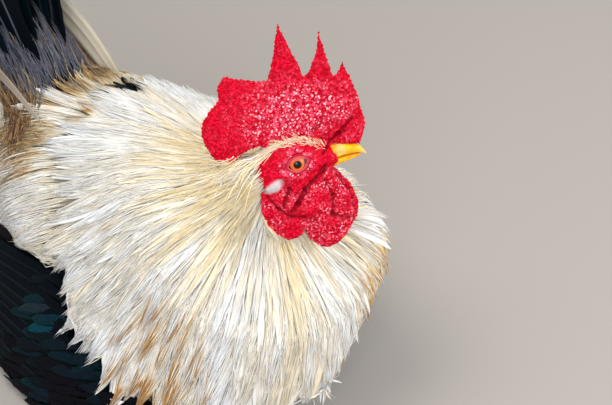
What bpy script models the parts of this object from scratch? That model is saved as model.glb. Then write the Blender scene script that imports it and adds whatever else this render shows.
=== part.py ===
"""A life-size rooster resting on the ground: belly down, legs folded under, the right wing let down
to the ground, the head turned to its left.

The bird faces -Y with +Z up, and the floor is the plane z = 0. Bird sizes are written in millimetres
as (side, forward, height): side is + to the bird's left, forward is towards its breast. The head, comb,
beak and wattles are written in the head's own axes as (along, above, right), from between the eyes.

Each body part is one closed solid. The trunk, wings, saddle and neck are lofts of the outer plumage;
where two of them meet, the outer one is cut back from a slightly fattened copy of the inner one.
"""

import math

import bmesh
import bpy
from mathutils import Matrix, Vector

MM = 0.001
GAP = 0.5 * MM  # clearance between two neighbouring solids
FLOOR = 0.0  # height of the flats that the bird rests on
SIDES = {"left": 1.0, "right": -1.0}

# Pose of the head, in degrees: turned from straight ahead to the bird's left, beak raised, comb
# leaning to the bird's left.
HEAD_TURN = 52.0
HEAD_PITCH = 8.0
HEAD_ROLL = 20.0
HEAD_CENTRE = (10.2, 86.3, 224.4)

EYE_RADIUS = 7.4
EYE_DEPTH = 9.8  # from the head's middle plane to the eyeball's centre

# Trunk, from the tail root to the breast: forward, centre height, half width, up, down.
TRUNK = (
    (-166, 142, 8, 10, 12),
    (-158, 140, 22, 24, 28),
    (-140, 130, 42, 44, 50),
    (-110, 114, 60, 70, 72),
    (-70, 98, 72, 86, 86),
    (-25, 88, 78, 94, 94),
    (25, 86, 80, 94, 94),
    (70, 90, 72, 74, 90),
    (102, 96, 50, 44, 66),
    (121, 98, 28, 28, 42),
    (131, 98, 9, 9, 12),
)

# Saddle, the mantle of long feathers over the rump and the wing tips: same columns.
SADDLE = (
    (-36, 112, 82, 72, 4),
    (-60, 108, 93, 84, 5),
    (-90, 106, 89, 86, 6),
    (-120, 104, 77, 84, 8),
    (-150, 104, 58, 72, 8),
    (-175, 106, 37, 54, 6),
    (-192, 108, 14, 36, 4),
)

# Wings, from the shoulder to the tips: side, forward, height, half thickness, half height. The left
# one is folded, and the right one is let down to the ground.
WING_FOLDED = (
    (60, 86, 108, 5, 12),
    (69, 68, 106, 12, 32),
    (78, 34, 101, 15, 45),
    (80, -10, 100, 15, 46),
    (74, -55, 103, 12, 39),
    (62, -100, 110, 9, 29),
    (45, -136, 117, 6, 18),
    (37, -154, 121, 4, 10),
    (34, -162, 123, 2, 4),
)
WING_LET_DOWN = (
    (72, 84, 92, 5, 14),
    (80, 68, 80, 11, 36),
    (91, 36, 62, 14, 58),
    (96, -10, 58, 14, 59),
    (97, -55, 58, 12, 59),
    (92, -100, 60, 9, 52),
    (83, -136, 62, 6, 34),
    (74, -156, 64, 4, 18),
    (70, -166, 65, 2, 5),
)
SADDLE_RINGS = 12
PRIMARY_FROM = -62.0  # the flight feathers beyond this station are a node of their own
WING_SPLAY = 0.42  # how far the let-down wing goes out for each millimetre down

# The neck hackle falls from a collar round the back of the head, over the neck and a passing point,
# to its hem. From the front round by the left: neck, passing point, hem.
HACKLE = (
    ((3, 94, 172), (0, 138, 114), (-4, 128, 46)),
    ((21, 91, 170), (23, 133, 112), (16, 124, 49)),
    ((33, 79, 170), (60, 127, 148), (59, 126, 106)),
    ((41, 62, 173), (80, 93, 150), (88, 87, 86)),
    ((42, 42, 181), (86, 50, 164), (106, 38, 80)),
    ((37, 27, 190), (74, 12, 177), (105, -12, 100)),
    ((25, 17, 198), (54, -16, 190), (86, -48, 146)),
    ((11, 14, 207), (28, -24, 201), (48, -76, 182)),
    ((-5, 16, 213), (0, -24, 207), (0, -88, 196)),
    ((-18, 21, 214), (-28, -22, 205), (-50, -80, 180)),
    ((-35, 28, 209), (-56, -14, 198), (-86, -54, 132)),
    ((-44, 40, 202), (-76, 12, 186), (-107, -18, 84)),
    ((-46, 56, 193), (-88, 50, 166), (-110, 38, 58)),
    ((-41, 73, 184), (-84, 93, 146), (-97, 84, 52)),
    ((-29, 86, 177), (-60, 123, 130), (-62, 113, 48)),
    ((-14, 95, 174), (-30, 135, 118), (-33, 125, 46)),
)
# The collar, in the head's axes: its middle, and its reach to the throat and to the side.
COLLAR = (-23, -9, 0)
COLLAR_THROAT = (12, -18.5)
COLLAR_SIDE = 17.2
HACKLE_HEART = (0, 20, 100)
HACKLE_RINGS = 7
HEM_TEETH = 17
TOOTH_DEPTH = 5.0

# Skull with the face's flesh: along, middle height, half width, up, down.
SKULL = (
    (-34, -9, 5, 6, 7),
    (-28, -8, 10, 12, 14),
    (-16, -3, 16, 15, 22),
    (0, 0, 16.5, 14, 21),
    (12, -1, 13.5, 12, 16),
    (22, -3, 9.5, 8.5, 10.5),
    (28, -4, 7, 6, 8),
)

# Single comb, as a fan of lines from its base to its edge, front to back: base, edge, thinning.
COMB = (
    ((44.5, -1.0), (46.5, 1.5), 0.45),
    ((40, -1.5), (51, 13), 0.75),
    ((36, -0.5), (50.6, 25), 0.85),
    ((33, 0.5), (49.4, 35), 0.85),
    ((31, 1.5), (47.6, 44), 0.8),
    ((29, 2.5), (43.7, 59.5), 0.7),
    ((27, 3.5), (39.4, 52), 0.85),
    ((25, 4.5), (35.6, 48.2), 0.95),
    ((23, 5), (34.2, 62), 0.85),
    ((21, 5.5), (32.1, 83), 0.75),
    ((17.5, 6.5), (25.5, 65), 0.85),
    ((14, 7.5), (20.5, 56), 0.95),
    ((11, 8), (16.3, 53.3), 1.0),
    ((8.5, 8.5), (14.2, 64), 0.9),
    ((6, 9), (10.6, 79), 0.85),
    ((3, 9.5), (6.8, 94), 0.75),
    ((0, 10), (1.6, 78), 0.85),
    ((-3, 10.5), (-3.6, 63), 0.95),
    ((-6.5, 11), (-7.2, 55.5), 1.0),
    ((-13, 11.5), (-18, 58.5), 1.0),
    ((-19, 12), (-28, 61.5), 0.95),
    ((-24, 12), (-34.5, 64.5), 0.9),
    ((-27, 11.5), (-41, 59), 0.85),
    ((-29, 11), (-41, 49.5), 0.9),
    ((-31, 10.5), (-47, 45.5), 0.85),
    ((-33, 9.5), (-55, 38), 0.8),
    ((-35, 8.5), (-57.5, 30), 0.8),
    ((-37, 7.5), (-56.5, 21), 0.8),
    ((-39, 7), (-53.5, 12), 0.75),
    ((-41, 6.5), (-49, 6), 0.6),
    ((-42.5, 7), (-44.5, 5), 0.35),
)
COMB_HALF_THICKNESS = 4.2
COMB_SWAY = 1.8  # the blade's gentle sideways wave

BEAK_UPPER = (
    (20, -2.5, 7.6, 5.5, 3.4),
    (30, -2.0, 6.2, 4.8, 3.4),
    (38, -2.7, 4.6, 4.2, 2.8),
    (44, -4.6, 2.8, 3.3, 2.0),
    (47.2, -7.6, 1.3, 1.6, 1.2),
    (47.9, -9.4, 0.5, 0.5, 0.5),
)
BEAK_LOWER = (
    (18, -9.4, 6.6, 2.6, 4.0),
    (28, -8.6, 5.0, 2.2, 3.0),
    (36, -8.2, 3.4, 1.8, 2.2),
    (42, -8.0, 1.8, 1.1, 1.2),
    (44.2, -7.9, 0.7, 0.5, 0.5),
)

# Wattle, downwards: along, above, half width, half thickness.
WATTLE = (
    (13, -11, 8, 3.6),
    (12.5, -20, 13.5, 3.8),
    (13.5, -34, 18.5, 3.3),
    (14, -48, 19, 3.0),
    (13.5, -59, 15, 2.6),
    (13, -65.5, 8.5, 2.0),
    (13, -68, 3, 1.2),
)
WATTLE_OUT = 9.0  # from the middle plane where it leaves the jaw
WATTLE_FALL = 0.17  # how far it swings to the bird's left for each millimetre down
WATTLE_FORWARD = {"left": 9.0, "right": 0.0}

# Loose fold of skin under the ear, downwards: same columns.
CHEEK_FOLD = (
    (-20, -15, 7.5, 3.4),
    (-18.5, -26, 11, 3.6),
    (-15.5, -38, 13, 3.2),
    (-12, -48, 10.5, 2.6),
    (-10.5, -54, 5, 1.6),
)
CHEEK_FOLD_OUT = 13.0

EARLOBE_CENTRE = (-18.6, -12.0, 15.4)
EARLOBE_SIZE = (6.6, 4.2, 3.0)

# Folded leg: the knee, the hock and the foot joint as (side, forward, height).
KNEE = (68, 46, 46)
HOCK = (54, -58, 15)
SHANK_BACK = (54, -64, 7)
FOOT_JOINT = (52, 14, 6.4)
FOOT_HUB = 8.5  # how far behind the foot joint the shank ends
# Toes as (side, forward) of the tip from the foot joint, and radius at the root.
TOES = {
    "inner": ((-20, 42), 5.0),
    "middle": ((3, 62), 5.4),
    "outer": ((26, 42), 5.0),
    "hind": ((-24, -3), 4.2),
}
CLAW_LENGTH = 13.0

# Tail: the covert cone that it grows from, and the fan of broad main feathers.
TAIL_ROOT = (0.0, -138.0, 152.0)
COVERT_AXIS = 64.0  # degrees above straight back
COVERTS = (
    # distance from the root, half width sideways, half width across the tail
    (-12, 20, 28),
    (14, 38, 50),
    (42, 33, 50),
    (70, 22, 43),
    (92, 10, 30),
    (104, 4, 14),
)
FAN_FEATHERS = 6
FAN_LOW, FAN_HIGH = 30.0, 76.0
FAN_LENGTHS = (128.0, 176.0)  # lowest and highest feather
FAN_SPLAY = 0.14
FAN_HALF_THICKNESS = 1.1

# Long curved feathers as points in the vertical plane (back, height), then half width, and side at
# the root and at the tip.
SICKLE = ((145, 176), (160, 240), (178, 312), (222, 368), (288, 378), (338, 330), (364, 262))
SICKLE_HALF_WIDTH = 13.0
SICKLE_SIDES = (7.0, 20.0)
LESSER_SICKLES = (
    (((108, 168), (139, 191), (176, 209), (214, 219), (254, 211), (284, 184)), 9.5, (37, 45)),
    (((150, 170), (176, 232), (212, 272), (256, 280), (290, 252)), 8.5, (24.0, 36.0)),
    (((144, 146), (178, 168), (214, 168), (244, 146), (258, 116)), 7.5, (38.0, 64.0)),
)


def bird(side, forward, height):
    """A point in metres from (side, forward, height) in millimetres."""
    return Vector((side, -forward, height)) * MM


def head_matrix():
    """Turns (along, above, right) in the head's own axes into world axes."""
    turn, pitch, roll = (math.radians(x) for x in (HEAD_TURN, HEAD_PITCH, HEAD_ROLL))
    level = Vector((math.sin(turn), -math.cos(turn), 0.0))
    along = (level * math.cos(pitch) + Vector((0, 0, math.sin(pitch)))).normalized()
    right = along.cross(Vector((0, 0, 1))).normalized()
    above = right.cross(along)
    leaned = above * math.cos(roll) - right * math.sin(roll)
    outward = right * math.cos(roll) + above * math.sin(roll)
    matrix = Matrix((along, leaned, outward)).transposed().to_4x4()
    matrix.translation = bird(*HEAD_CENTRE)
    return matrix


HEAD = head_matrix()


def on_head(along, above, right):
    """A point in metres from the head's own millimetres."""
    return HEAD @ (Vector((along, above, right)) * MM)


def material(name, colour, roughness, metallic=0.0):
    """A plain material of one colour."""
    made = bpy.data.materials.new(name)
    made.use_nodes = True
    shader = made.node_tree.nodes["Principled BSDF"]
    shader.inputs["Base Color"].default_value = (*colour, 1.0)
    shader.inputs["Roughness"].default_value = roughness
    shader.inputs["Metallic"].default_value = metallic
    made.diffuse_color = (*colour, 1.0)
    return made


def smooth_rows(rows, count):
    """Rows of numbers resampled to count rows along a curve that passes through each of them."""
    out = []
    last = len(rows) - 1
    for i in range(count):
        at = i * last / (count - 1)
        k = min(int(at), last - 1)
        t = at - k
        before = rows[max(k - 1, 0)]
        after = rows[min(k + 2, last)]
        out.append(
            tuple(
                0.5
                * (
                    2 * b
                    + (c - a) * t
                    + (2 * a - 5 * b + 4 * c - d) * t * t
                    + (3 * b - 3 * c + d - a) * t**3
                )
                for a, b, c, d in zip(before, rows[k], rows[k + 1], after)
            )
        )
    return out


def oval(count, width, up, down, upper_power=2.0, lower_power=2.0):
    """Points (across, above) round an oval whose upper and lower halves differ."""
    points = []
    for i in range(count):
        angle = 2 * math.pi * (i + 0.5) / count
        across, above = math.cos(angle), math.sin(angle)
        power = 2.0 / (upper_power if above > 0 else lower_power)
        height = up if above > 0 else down
        points.append(
            (
                math.copysign(abs(across) ** power, across) * width,
                math.copysign(abs(above) ** power, above) * height,
            )
        )
    return points


def solid(name, rings, finish):
    """One closed body through rings of points, made by extruding a cap from ring to ring."""
    bm = bmesh.new()
    bmesh.ops.create_circle(bm, cap_ends=True, segments=len(rings[0]), radius=MM)
    face = bm.faces[:][0]
    for vertex, point in zip(face.verts, rings[0]):
        vertex.co = point
    for ring in rings[1:]:
        region = [face, *face.edges, *face.verts]
        made = bmesh.ops.extrude_face_region(bm, geom=region)["geom"]
        face = next(part for part in made if isinstance(part, bmesh.types.BMFace))
        for vertex, point in zip(face.verts, ring):
            vertex.co = point
    bmesh.ops.recalc_face_normals(bm, faces=bm.faces[:])
    # In triangles from the start, so that a fattened copy keeps to the same faces.
    bmesh.ops.triangulate(bm, faces=bm.faces[:])
    mesh = bpy.data.meshes.new(name)
    bm.to_mesh(mesh)
    bm.free()
    mesh.materials.append(finish)
    mesh.shade_smooth()
    mesh.set_sharp_from_angle(angle=math.radians(50))
    made = bpy.data.objects.new(name, mesh)
    bpy.context.scene.collection.objects.link(made)
    return made


def fattened(piece):
    """A hidden copy of a piece, larger by the gap all round, to cut its neighbours back with."""
    name = "cutter_" + piece.name
    found = bpy.data.objects.get(name)
    if found:
        return found
    made = bpy.data.objects.new(name, piece.data)
    bpy.context.scene.collection.objects.link(made)
    for old in piece.modifiers:
        if old.type == "BOOLEAN" and old.operation == "UNION":
            join = made.modifiers.new(old.name, "BOOLEAN")
            join.operation = "UNION"
            join.solver = "EXACT"
            join.object = old.object
    swell = made.modifiers.new("swell", "DISPLACE")
    swell.strength = GAP
    swell.mid_level = 0.0
    made.hide_render = True
    made.display_type = "WIRE"
    return made


def cut_back(piece, *neighbours):
    """Cuts the piece back from its neighbours, leaving the gap."""
    for neighbour in neighbours:
        cut = piece.modifiers.new("clear_of_" + neighbour.name, "BOOLEAN")
        cut.operation = "DIFFERENCE"
        cut.solver = "EXACT"
        cut.object = fattened(neighbour)


def on_floor(ring):
    """The ring with everything below the floor pressed flat on it."""
    return [Vector((p.x, p.y, max(p.z, FLOOR))) for p in ring]


def body_rings(rows, count, segments, upper_power, lower_power):
    """Upright rings along the bird's length from rows of forward, height, width, up and down."""
    rings = []
    for forward, height, width, up, down in smooth_rows(rows, count):
        outline = oval(segments, width, up, down, upper_power, lower_power)
        rings.append([bird(x, forward, height + z) for x, z in outline])
    return rings


def make_trunk(finish):
    """The plump body, flat underneath where it rests."""
    rings = body_rings(TRUNK, 13, 16, 2.2, 1.7)
    return solid("trunk", [on_floor(ring) for ring in rings], finish)


def make_saddle(finish):
    """The mantle, its lower edge in points."""
    rings = body_rings(SADDLE, SADDLE_RINGS, 14, 2.15, 2.0)
    for i, ring in enumerate(rings[1:-1]):
        drop = TOOTH_DEPTH * (1 if i % 2 else -1)
        level = min(p.z for p in ring) + 12 * MM
        for point in ring:
            if point.z < level:
                point.z -= drop * MM
    return solid("saddle", rings, finish)


def wing_rings(rows, sign, splay, segments=10):
    """Tall thin rings whose flat faces follow the side of the body, or stand out below by the splay."""
    rings = []
    for side, forward, height, thick, tall in rows:
        ring = []
        for x, z in oval(segments, thick, tall, tall, 2.3, 2.3):
            # The wing's upper edge leans in over the back.
            out = side + x - splay * z - 0.0032 * max(z, 0) ** 2
            ring.append(bird(sign * out, forward, height + z))
        rings.append(on_floor(ring))
    return rings


def make_wings(coverts, flights):
    """Each wing in two pieces that meet a gap apart: the coverts, and the long flight feathers."""
    made = {}
    for name, wing, splay in (
        ("left", WING_FOLDED, 0.0),
        ("right", WING_LET_DOWN, WING_SPLAY),
    ):
        rows = smooth_rows(wing, 11)
        shoulder = [row for row in rows if row[1] > PRIMARY_FROM]
        tips = [row for row in rows if row[1] <= PRIMARY_FROM]
        meeting = tuple((a + b) / 2 for a, b in zip(shoulder[-1], tips[0]))
        half_gap = GAP / MM
        near = (meeting[0], meeting[1] + half_gap, *meeting[2:])
        far = (meeting[0], meeting[1] - half_gap, *meeting[2:])
        sign = SIDES[name]
        made["wing_" + name] = solid(
            "wing_" + name, wing_rings([*shoulder, near], sign, splay), coverts
        )
        made["wing_flights_" + name] = solid(
            "wing_flights_" + name, wing_rings([far, *tips], sign, splay), flights
        )
    return made


def round_keys(keys, at):
    """One point of a closed ring of keys, at a fraction of the way round."""
    place = at * len(keys)
    k = int(math.floor(place)) % len(keys)
    t = place - math.floor(place)
    a, b, c, d = (Vector(keys[(k + i) % len(keys)]) for i in (-1, 0, 1, 2))
    return 0.5 * (
        2 * b
        + (c - a) * t
        + (2 * a - 5 * b + 4 * c - d) * t * t
        + (3 * b - 3 * c + d - a) * t**3
    )


def collar_point(angle):
    """A point of the collar at an angle from the front by the left, in the bird's millimetres."""
    swing = angle - math.radians(HEAD_TURN)
    along = COLLAR[0] + COLLAR_THROAT[0] * math.cos(swing)
    above = COLLAR[1] + COLLAR_THROAT[1] * math.cos(swing)
    world = on_head(along, above, -COLLAR_SIDE * math.sin(swing)) / MM
    return Vector((world.x, -world.y, world.z))


def make_neck(finish):
    """The cape of long narrow feathers, its hem in points, closed again under the body."""
    count = 2 * HEM_TEETH
    columns = []
    for i in range(count):
        at = i / count
        through = [collar_point(2 * math.pi * at)]
        for level in range(3):
            through.append(round_keys([key[level] for key in HACKLE], at))
        column = [Vector(p) for p in smooth_rows(through, HACKLE_RINGS)]
        fall = (column[-1] - column[-2]).normalized()
        column[-1] += fall * TOOTH_DEPTH * (1 if i % 2 else -1)
        columns.append(column)
    rings = [[column[k] for column in columns] for k in range(HACKLE_RINGS)]
    heart = Vector(HACKLE_HEART)
    hem = rings[-1]
    rings.extend([p.lerp(heart, pull) for p in hem] for pull in (0.16, 0.55, 0.9))
    return solid("neck", [[bird(*p) for p in ring] for ring in rings], finish)


def head_rings(rows, count, segments, upper_power=2.0, lower_power=2.0):
    """Rings across the head from rows of along, height, width, up and down."""
    rings = []
    for along, height, width, up, down in smooth_rows(rows, count):
        outline = oval(segments, width, up, down, upper_power, lower_power)
        rings.append([on_head(along, height + y, x) for x, y in outline])
    return rings


def make_comb(finish):
    """The blade, lens-shaped across, from its fan of lines."""
    spread = (0.0, 0.12, 0.5, 0.88, 1.0)
    fullness = (0.55, 1.0, 0.84, 0.5, 0.14)
    rings = []
    for base, edge, thinning in COMB:
        sway = COMB_SWAY * math.sin(edge[0] / 17.0)
        points = [
            (
                base[0] + (edge[0] - base[0]) * s,
                base[1] + (edge[1] - base[1]) * s,
                full * thinning * COMB_HALF_THICKNESS,
                sway * s,
            )
            for s, full in zip(spread, fullness)
        ]
        there = [on_head(a, b, lean + t) for a, b, t, lean in points]
        back = [on_head(a, b, lean - t) for a, b, t, lean in reversed(points)]
        rings.append(there + back)
    return solid("comb", rings, finish)


def hanging_rings(rows, out, forward, fall, sign, count=7, segments=8):
    """Rings of a soft flap that hangs from the side of the face."""
    rings = []
    top = rows[0][1]
    for along, above, width, thick in smooth_rows(rows, count):
        right = out * -sign - fall * (top - above)
        share = (top - above) / (top - rows[-1][1])
        outline = oval(segments, width, thick, thick)
        rings.append(
            [
                on_head(along + forward * share + x, above + 0.12 * x, right + z)
                for x, z in outline
            ]
        )
    return rings


def ball(name, centre, sizes, finish, segments=12, rows=8):
    """An ellipsoid set in the head's axes."""
    bm = bmesh.new()
    bmesh.ops.create_uvsphere(bm, u_segments=segments, v_segments=rows, radius=1.0)
    place = HEAD @ Matrix.Translation(Vector(centre) * MM)
    shape = Matrix.Diagonal((*(Vector(sizes) * MM), 1.0))
    bmesh.ops.transform(bm, matrix=place @ shape, verts=bm.verts[:])
    mesh = bpy.data.meshes.new(name)
    bm.to_mesh(mesh)
    bm.free()
    mesh.materials.append(finish)
    mesh.shade_smooth()
    made = bpy.data.objects.new(name, mesh)
    bpy.context.scene.collection.objects.link(made)
    return made


def make_head(flesh, horn, eye, lobe):
    """The skull with everything on it: comb, beak, eyes, earlobes, wattles and folds of skin."""
    made = {}
    skull = solid("head", head_rings(SKULL, 9, 14, 2.1, 1.9), flesh)
    made["head"] = skull
    made["comb"] = make_comb(flesh)
    # The two halves are square where they meet, so that the mouth is a thin line.
    upper = head_rings(BEAK_UPPER, 9, 12, 2.0, 5.0)
    made["beak_upper"] = solid("beak_upper", upper, horn)
    lower = head_rings(BEAK_LOWER, 6, 12, 5.0, 2.0)
    made["beak_lower"] = solid("beak_lower", lower, horn)
    for name, sign in SIDES.items():
        made["eye_" + name] = ball(
            "eye_" + name,
            (0, 0, -sign * EYE_DEPTH),
            (EYE_RADIUS, EYE_RADIUS, EYE_RADIUS),
            eye,
        )
        made["earlobe_" + name] = ball(
            "earlobe_" + name,
            (EARLOBE_CENTRE[0], EARLOBE_CENTRE[1], -sign * EARLOBE_CENTRE[2]),
            EARLOBE_SIZE,
            lobe,
            10,
            6,
        )
        made["wattle_" + name] = solid(
            "wattle_" + name,
            hanging_rings(
                WATTLE, WATTLE_OUT, WATTLE_FORWARD[name], WATTLE_FALL, sign
            ),
            flesh,
        )
        made["cheek_fold_" + name] = solid(
            "cheek_fold_" + name,
            hanging_rings(CHEEK_FOLD, CHEEK_FOLD_OUT, 0.0, WATTLE_FALL, sign),
            flesh,
        )
    return made


def tube_rings(path, radii, segments, flat=True):
    """Rings round a path of points in millimetres, pressed flat on the floor if asked."""
    points = [bird(*p) for p in path]
    rings = []
    for i, (point, radius) in enumerate(zip(points, radii)):
        ahead = points[min(i + 1, len(points) - 1)] - points[max(i - 1, 0)]
        across = ahead.cross(Vector((0, 0, 1))).normalized()
        above = across.cross(ahead).normalized()
        ring = [
            point + (across * x + above * y) * MM
            for x, y in oval(segments, radius, radius, radius)
        ]
        rings.append(on_floor(ring) if flat else ring)
    return rings


def between(start, end, count, lift=0.0):
    """Points from start to end, arched up by lift in the middle."""
    out = []
    for i in range(count):
        t = i / (count - 1)
        point = Vector(start).lerp(Vector(end), t)
        point.z += lift * math.sin(math.pi * t)
        out.append(tuple(point))
    return out


def mirrored(point, sign):
    """The point on the bird's left for sign 1, on its right for sign -1."""
    return (point[0] * sign, point[1], point[2])


def toe_end(foot, reach):
    """Where a toe's flesh ends: just above the floor."""
    return (foot[0] + reach[0], foot[1] + reach[1], 2.6)


def make_leg(name, sign, plumage, scale, horn):
    """A folded leg: thigh, shank with its spur, and the foot with its four claws."""
    made = {}
    knee, hock = mirrored(KNEE, sign), mirrored(HOCK, sign)
    heel, foot = mirrored(SHANK_BACK, sign), mirrored(FOOT_JOINT, sign)
    thigh_path = between(knee, hock, 6, 3.0)
    thigh_radii = (13, 23, 25, 21, 14, 7.5)
    made["thigh_" + name] = solid(
        "thigh_" + name, tube_rings(thigh_path, thigh_radii, 10, False), plumage
    )
    shank_end = (foot[0], foot[1] - FOOT_HUB, foot[2])
    shank_path = [
        (heel[0], heel[1] - 4, heel[2] + 1),
        *between(heel, shank_end, 6, 0.5),
    ]
    shank_radii = (3, 7.6, 7.2, 6.3, 6.1, 6.3, 6.8)
    made["shank_" + name] = solid(
        "shank_" + name, tube_rings(shank_path, shank_radii, 10), scale
    )
    hub_path = [(foot[0], foot[1] - FOOT_HUB + 0.5 + x, foot[2]) for x in (0, 6, 11, 14)]
    toes = [
        solid("foot_" + name, tube_rings(hub_path, (6.8, 7.2, 6.6, 3), 12), scale)
    ]
    for toe, (reach, radius) in TOES.items():
        reach = (reach[0] * sign, reach[1])
        end = toe_end(foot, reach)
        path = between((*foot[:2], 5.0), end, 6)
        swell = (0.95, 1.0, 0.88, 0.92, 0.78, 0.5)
        joint = solid(
            f"toe_{name}_{toe}",
            tube_rings(path, [radius * s for s in swell], 7),
            scale,
        )
        toes.append(joint)
        heading = Vector((reach[0], reach[1], 0)).normalized()
        tip = Vector(end) + heading * CLAW_LENGTH
        claw_path = [
            tuple(Vector(end).lerp(tip, t) + Vector((0, 0, 1.6 * math.sin(2.4 * t))))
            for t in (0.08, 0.4, 0.75, 1.0)
        ]
        claw_path = [(p[0], p[1], p[2] - 2.1 * i / 3) for i, p in enumerate(claw_path)]
        claw = f"claw_{name}_{toe}"
        made[claw] = solid(
            claw, tube_rings(claw_path, (2.2, 2.0, 1.3, 0.45), 6), horn
        )
    foot_piece = toes[0]
    for other in toes[1:]:
        join = foot_piece.modifiers.new("join_" + other.name, "BOOLEAN")
        join.operation = "UNION"
        join.solver = "EXACT"
        join.object = other
        other.hide_render = True
        other.display_type = "WIRE"
    made["foot_" + name] = foot_piece
    inward = -sign
    spur_root = (foot[0] + inward * 5, foot[1] - 26, 6.6)
    spur_path = [
        (
            spur_root[0] + inward * 13 * t,
            spur_root[1] - 7 * t,
            spur_root[2] + 2.5 * t,
        )
        for t in (0.0, 0.3, 0.6, 0.85, 1.0)
    ]
    made["spur_" + name] = solid(
        "spur_" + name, tube_rings(spur_path, (3.6, 3.1, 2.2, 1.2, 0.5), 8), horn
    )
    return made


def tail_point(distance, angle, side):
    """A point in the tail, from the root: distance, degrees above straight back, and side."""
    lean = math.radians(angle)
    return bird(
        TAIL_ROOT[0] + side,
        TAIL_ROOT[1] - distance * math.cos(lean),
        TAIL_ROOT[2] + distance * math.sin(lean),
    )


def make_tail_coverts(finish):
    """The cone of short feathers that the tail grows from."""
    lean = math.radians(COVERT_AXIS)
    across_tail = Vector((0, math.sin(lean), math.cos(lean)))
    rings = []
    for distance, wide, deep in smooth_rows(COVERTS, 7):
        centre = tail_point(distance, COVERT_AXIS, 0)
        rings.append(
            [
                centre + Vector((x * MM, 0, 0)) + across_tail * (y * MM)
                for x, y in oval(14, wide, deep, deep, 2.2, 2.2)
            ]
        )
    return solid("tail_coverts", rings, finish)


def make_tail_fan(name, sign, finish):
    """The broad main feathers of one side, overlapping like a hand of cards."""
    steps = 3
    rings = []
    total = FAN_FEATHERS * steps
    for i in range(total + 1):
        at = i / total
        within = (i % steps) / steps if i < total else 1.0
        angle = FAN_LOW + (FAN_HIGH - FAN_LOW) * at
        length = FAN_LENGTHS[0] + (FAN_LENGTHS[1] - FAN_LENGTHS[0]) * at**0.7
        rounding = 1.0 - 0.085 * (2 * within - 1) ** 4
        if i in (0, total):
            rounding = 0.9
        layer = 1.6 * within
        ring = []
        stations = (38.0, 0.45 * length, 0.8 * length, length * rounding)
        for outer in (1, -1):
            ordered = stations if outer > 0 else stations[::-1]
            for distance in ordered:
                thick = FAN_HALF_THICKNESS * (0.5 if distance > 0.9 * length else 1)
                side = 5.0 + FAN_SPLAY * distance + layer + outer * thick
                ring.append(tail_point(distance, angle, sign * side))
        rings.append(ring)
    return solid("tail_fan_" + name, rings, finish)


def blade(name, profile, half_width, sides, sign, finish, count=9):
    """A long curved feather: flat across, pointed, following a curve in an upright plane."""
    rows = smooth_rows(profile, count)
    rings = []
    for i, (back, height) in enumerate(rows):
        t = i / (count - 1)
        before, after = rows[max(i - 1, 0)], rows[min(i + 1, count - 1)]
        run = Vector((after[0] - before[0], after[1] - before[1])).normalized()
        across = Vector((-run.y, run.x))
        width = half_width * min(1.0, 0.55 + 1.6 * t, 2.6 * (1.03 - t))
        thick = 0.9 if t < 0.8 else 0.6
        side = sides[0] + (sides[1] - sides[0]) * t
        ring = []
        for x, y in oval(6, width, thick, thick):
            dip = 0.12 * x * x / half_width
            ring.append(
                bird(
                    sign * (side - dip + y),
                    -(back + across.x * x),
                    height + across.y * x,
                )
            )
        rings.append(ring)
    return solid(name, rings, finish)


def make_tail(black, cream):
    """Coverts, the fans of main feathers, two great sickles and the lesser ones."""
    made = {"tail_coverts": make_tail_coverts(black)}
    for name, sign in SIDES.items():
        made["tail_fan_" + name] = make_tail_fan(name, sign, black)
        made["sickle_" + name] = blade(
            "sickle_" + name, SICKLE, SICKLE_HALF_WIDTH, SICKLE_SIDES, sign, black, 15
        )
        for i, (profile, width, sides) in enumerate(LESSER_SICKLES):
            piece = f"lesser_sickle_{name}_{i + 1}"
            finish = black if i == 1 else cream
            made[piece] = blade(piece, profile, width, sides, sign, finish)
    return made


def fit_together(p):
    """Cuts each piece back from the ones that it lies on or grows from."""
    for name in SIDES:
        cut_back(p["thigh_" + name], p["trunk"], p["shank_" + name])
        cut_back(p["wing_" + name], p["trunk"], p["thigh_" + name])
        cut_back(p["wing_flights_" + name], p["trunk"])
        cut_back(p["trunk"], p["shank_" + name], p["spur_" + name])
        cut_back(p["trunk"], p["foot_" + name], p[f"claw_{name}_hind"])
        cut_back(p["spur_" + name], p["shank_" + name])
        for toe in TOES:
            cut_back(p[f"claw_{name}_{toe}"], p["foot_" + name])
        cut_back(p["head"], p["eye_" + name], p["earlobe_" + name])
        for flap in ("wattle_", "cheek_fold_"):
            cut_back(p[flap + name], p["head"])
        cut_back(p["cheek_fold_" + name], p["earlobe_" + name], p["wattle_" + name])
        cut_back(p["tail_fan_" + name], p["tail_coverts"])
        cut_back(p["sickle_" + name], p["tail_coverts"])
        cut_back(p["neck"], p["wing_" + name], p["wing_flights_" + name])
        cut_back(p["neck"], p["cheek_fold_" + name], p["wattle_" + name])
        cut_back(p["neck"], p["earlobe_" + name])
        cut_back(p["saddle"], p["wing_" + name], p["wing_flights_" + name])
        for i in range(len(LESSER_SICKLES)):
            cut_back(
                p[f"lesser_sickle_{name}_{i + 1}"],
                p["tail_coverts"],
                p["saddle"],
                p["trunk"],
            )
    cut_back(p["head"], p["beak_upper"], p["beak_lower"])
    cut_back(p["comb"], p["head"], p["beak_upper"])
    cut_back(p["neck"], p["trunk"], p["saddle"], p["head"], p["comb"])
    cut_back(p["saddle"], p["trunk"], p["tail_coverts"])
    cut_back(p["tail_coverts"], p["trunk"])


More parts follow.
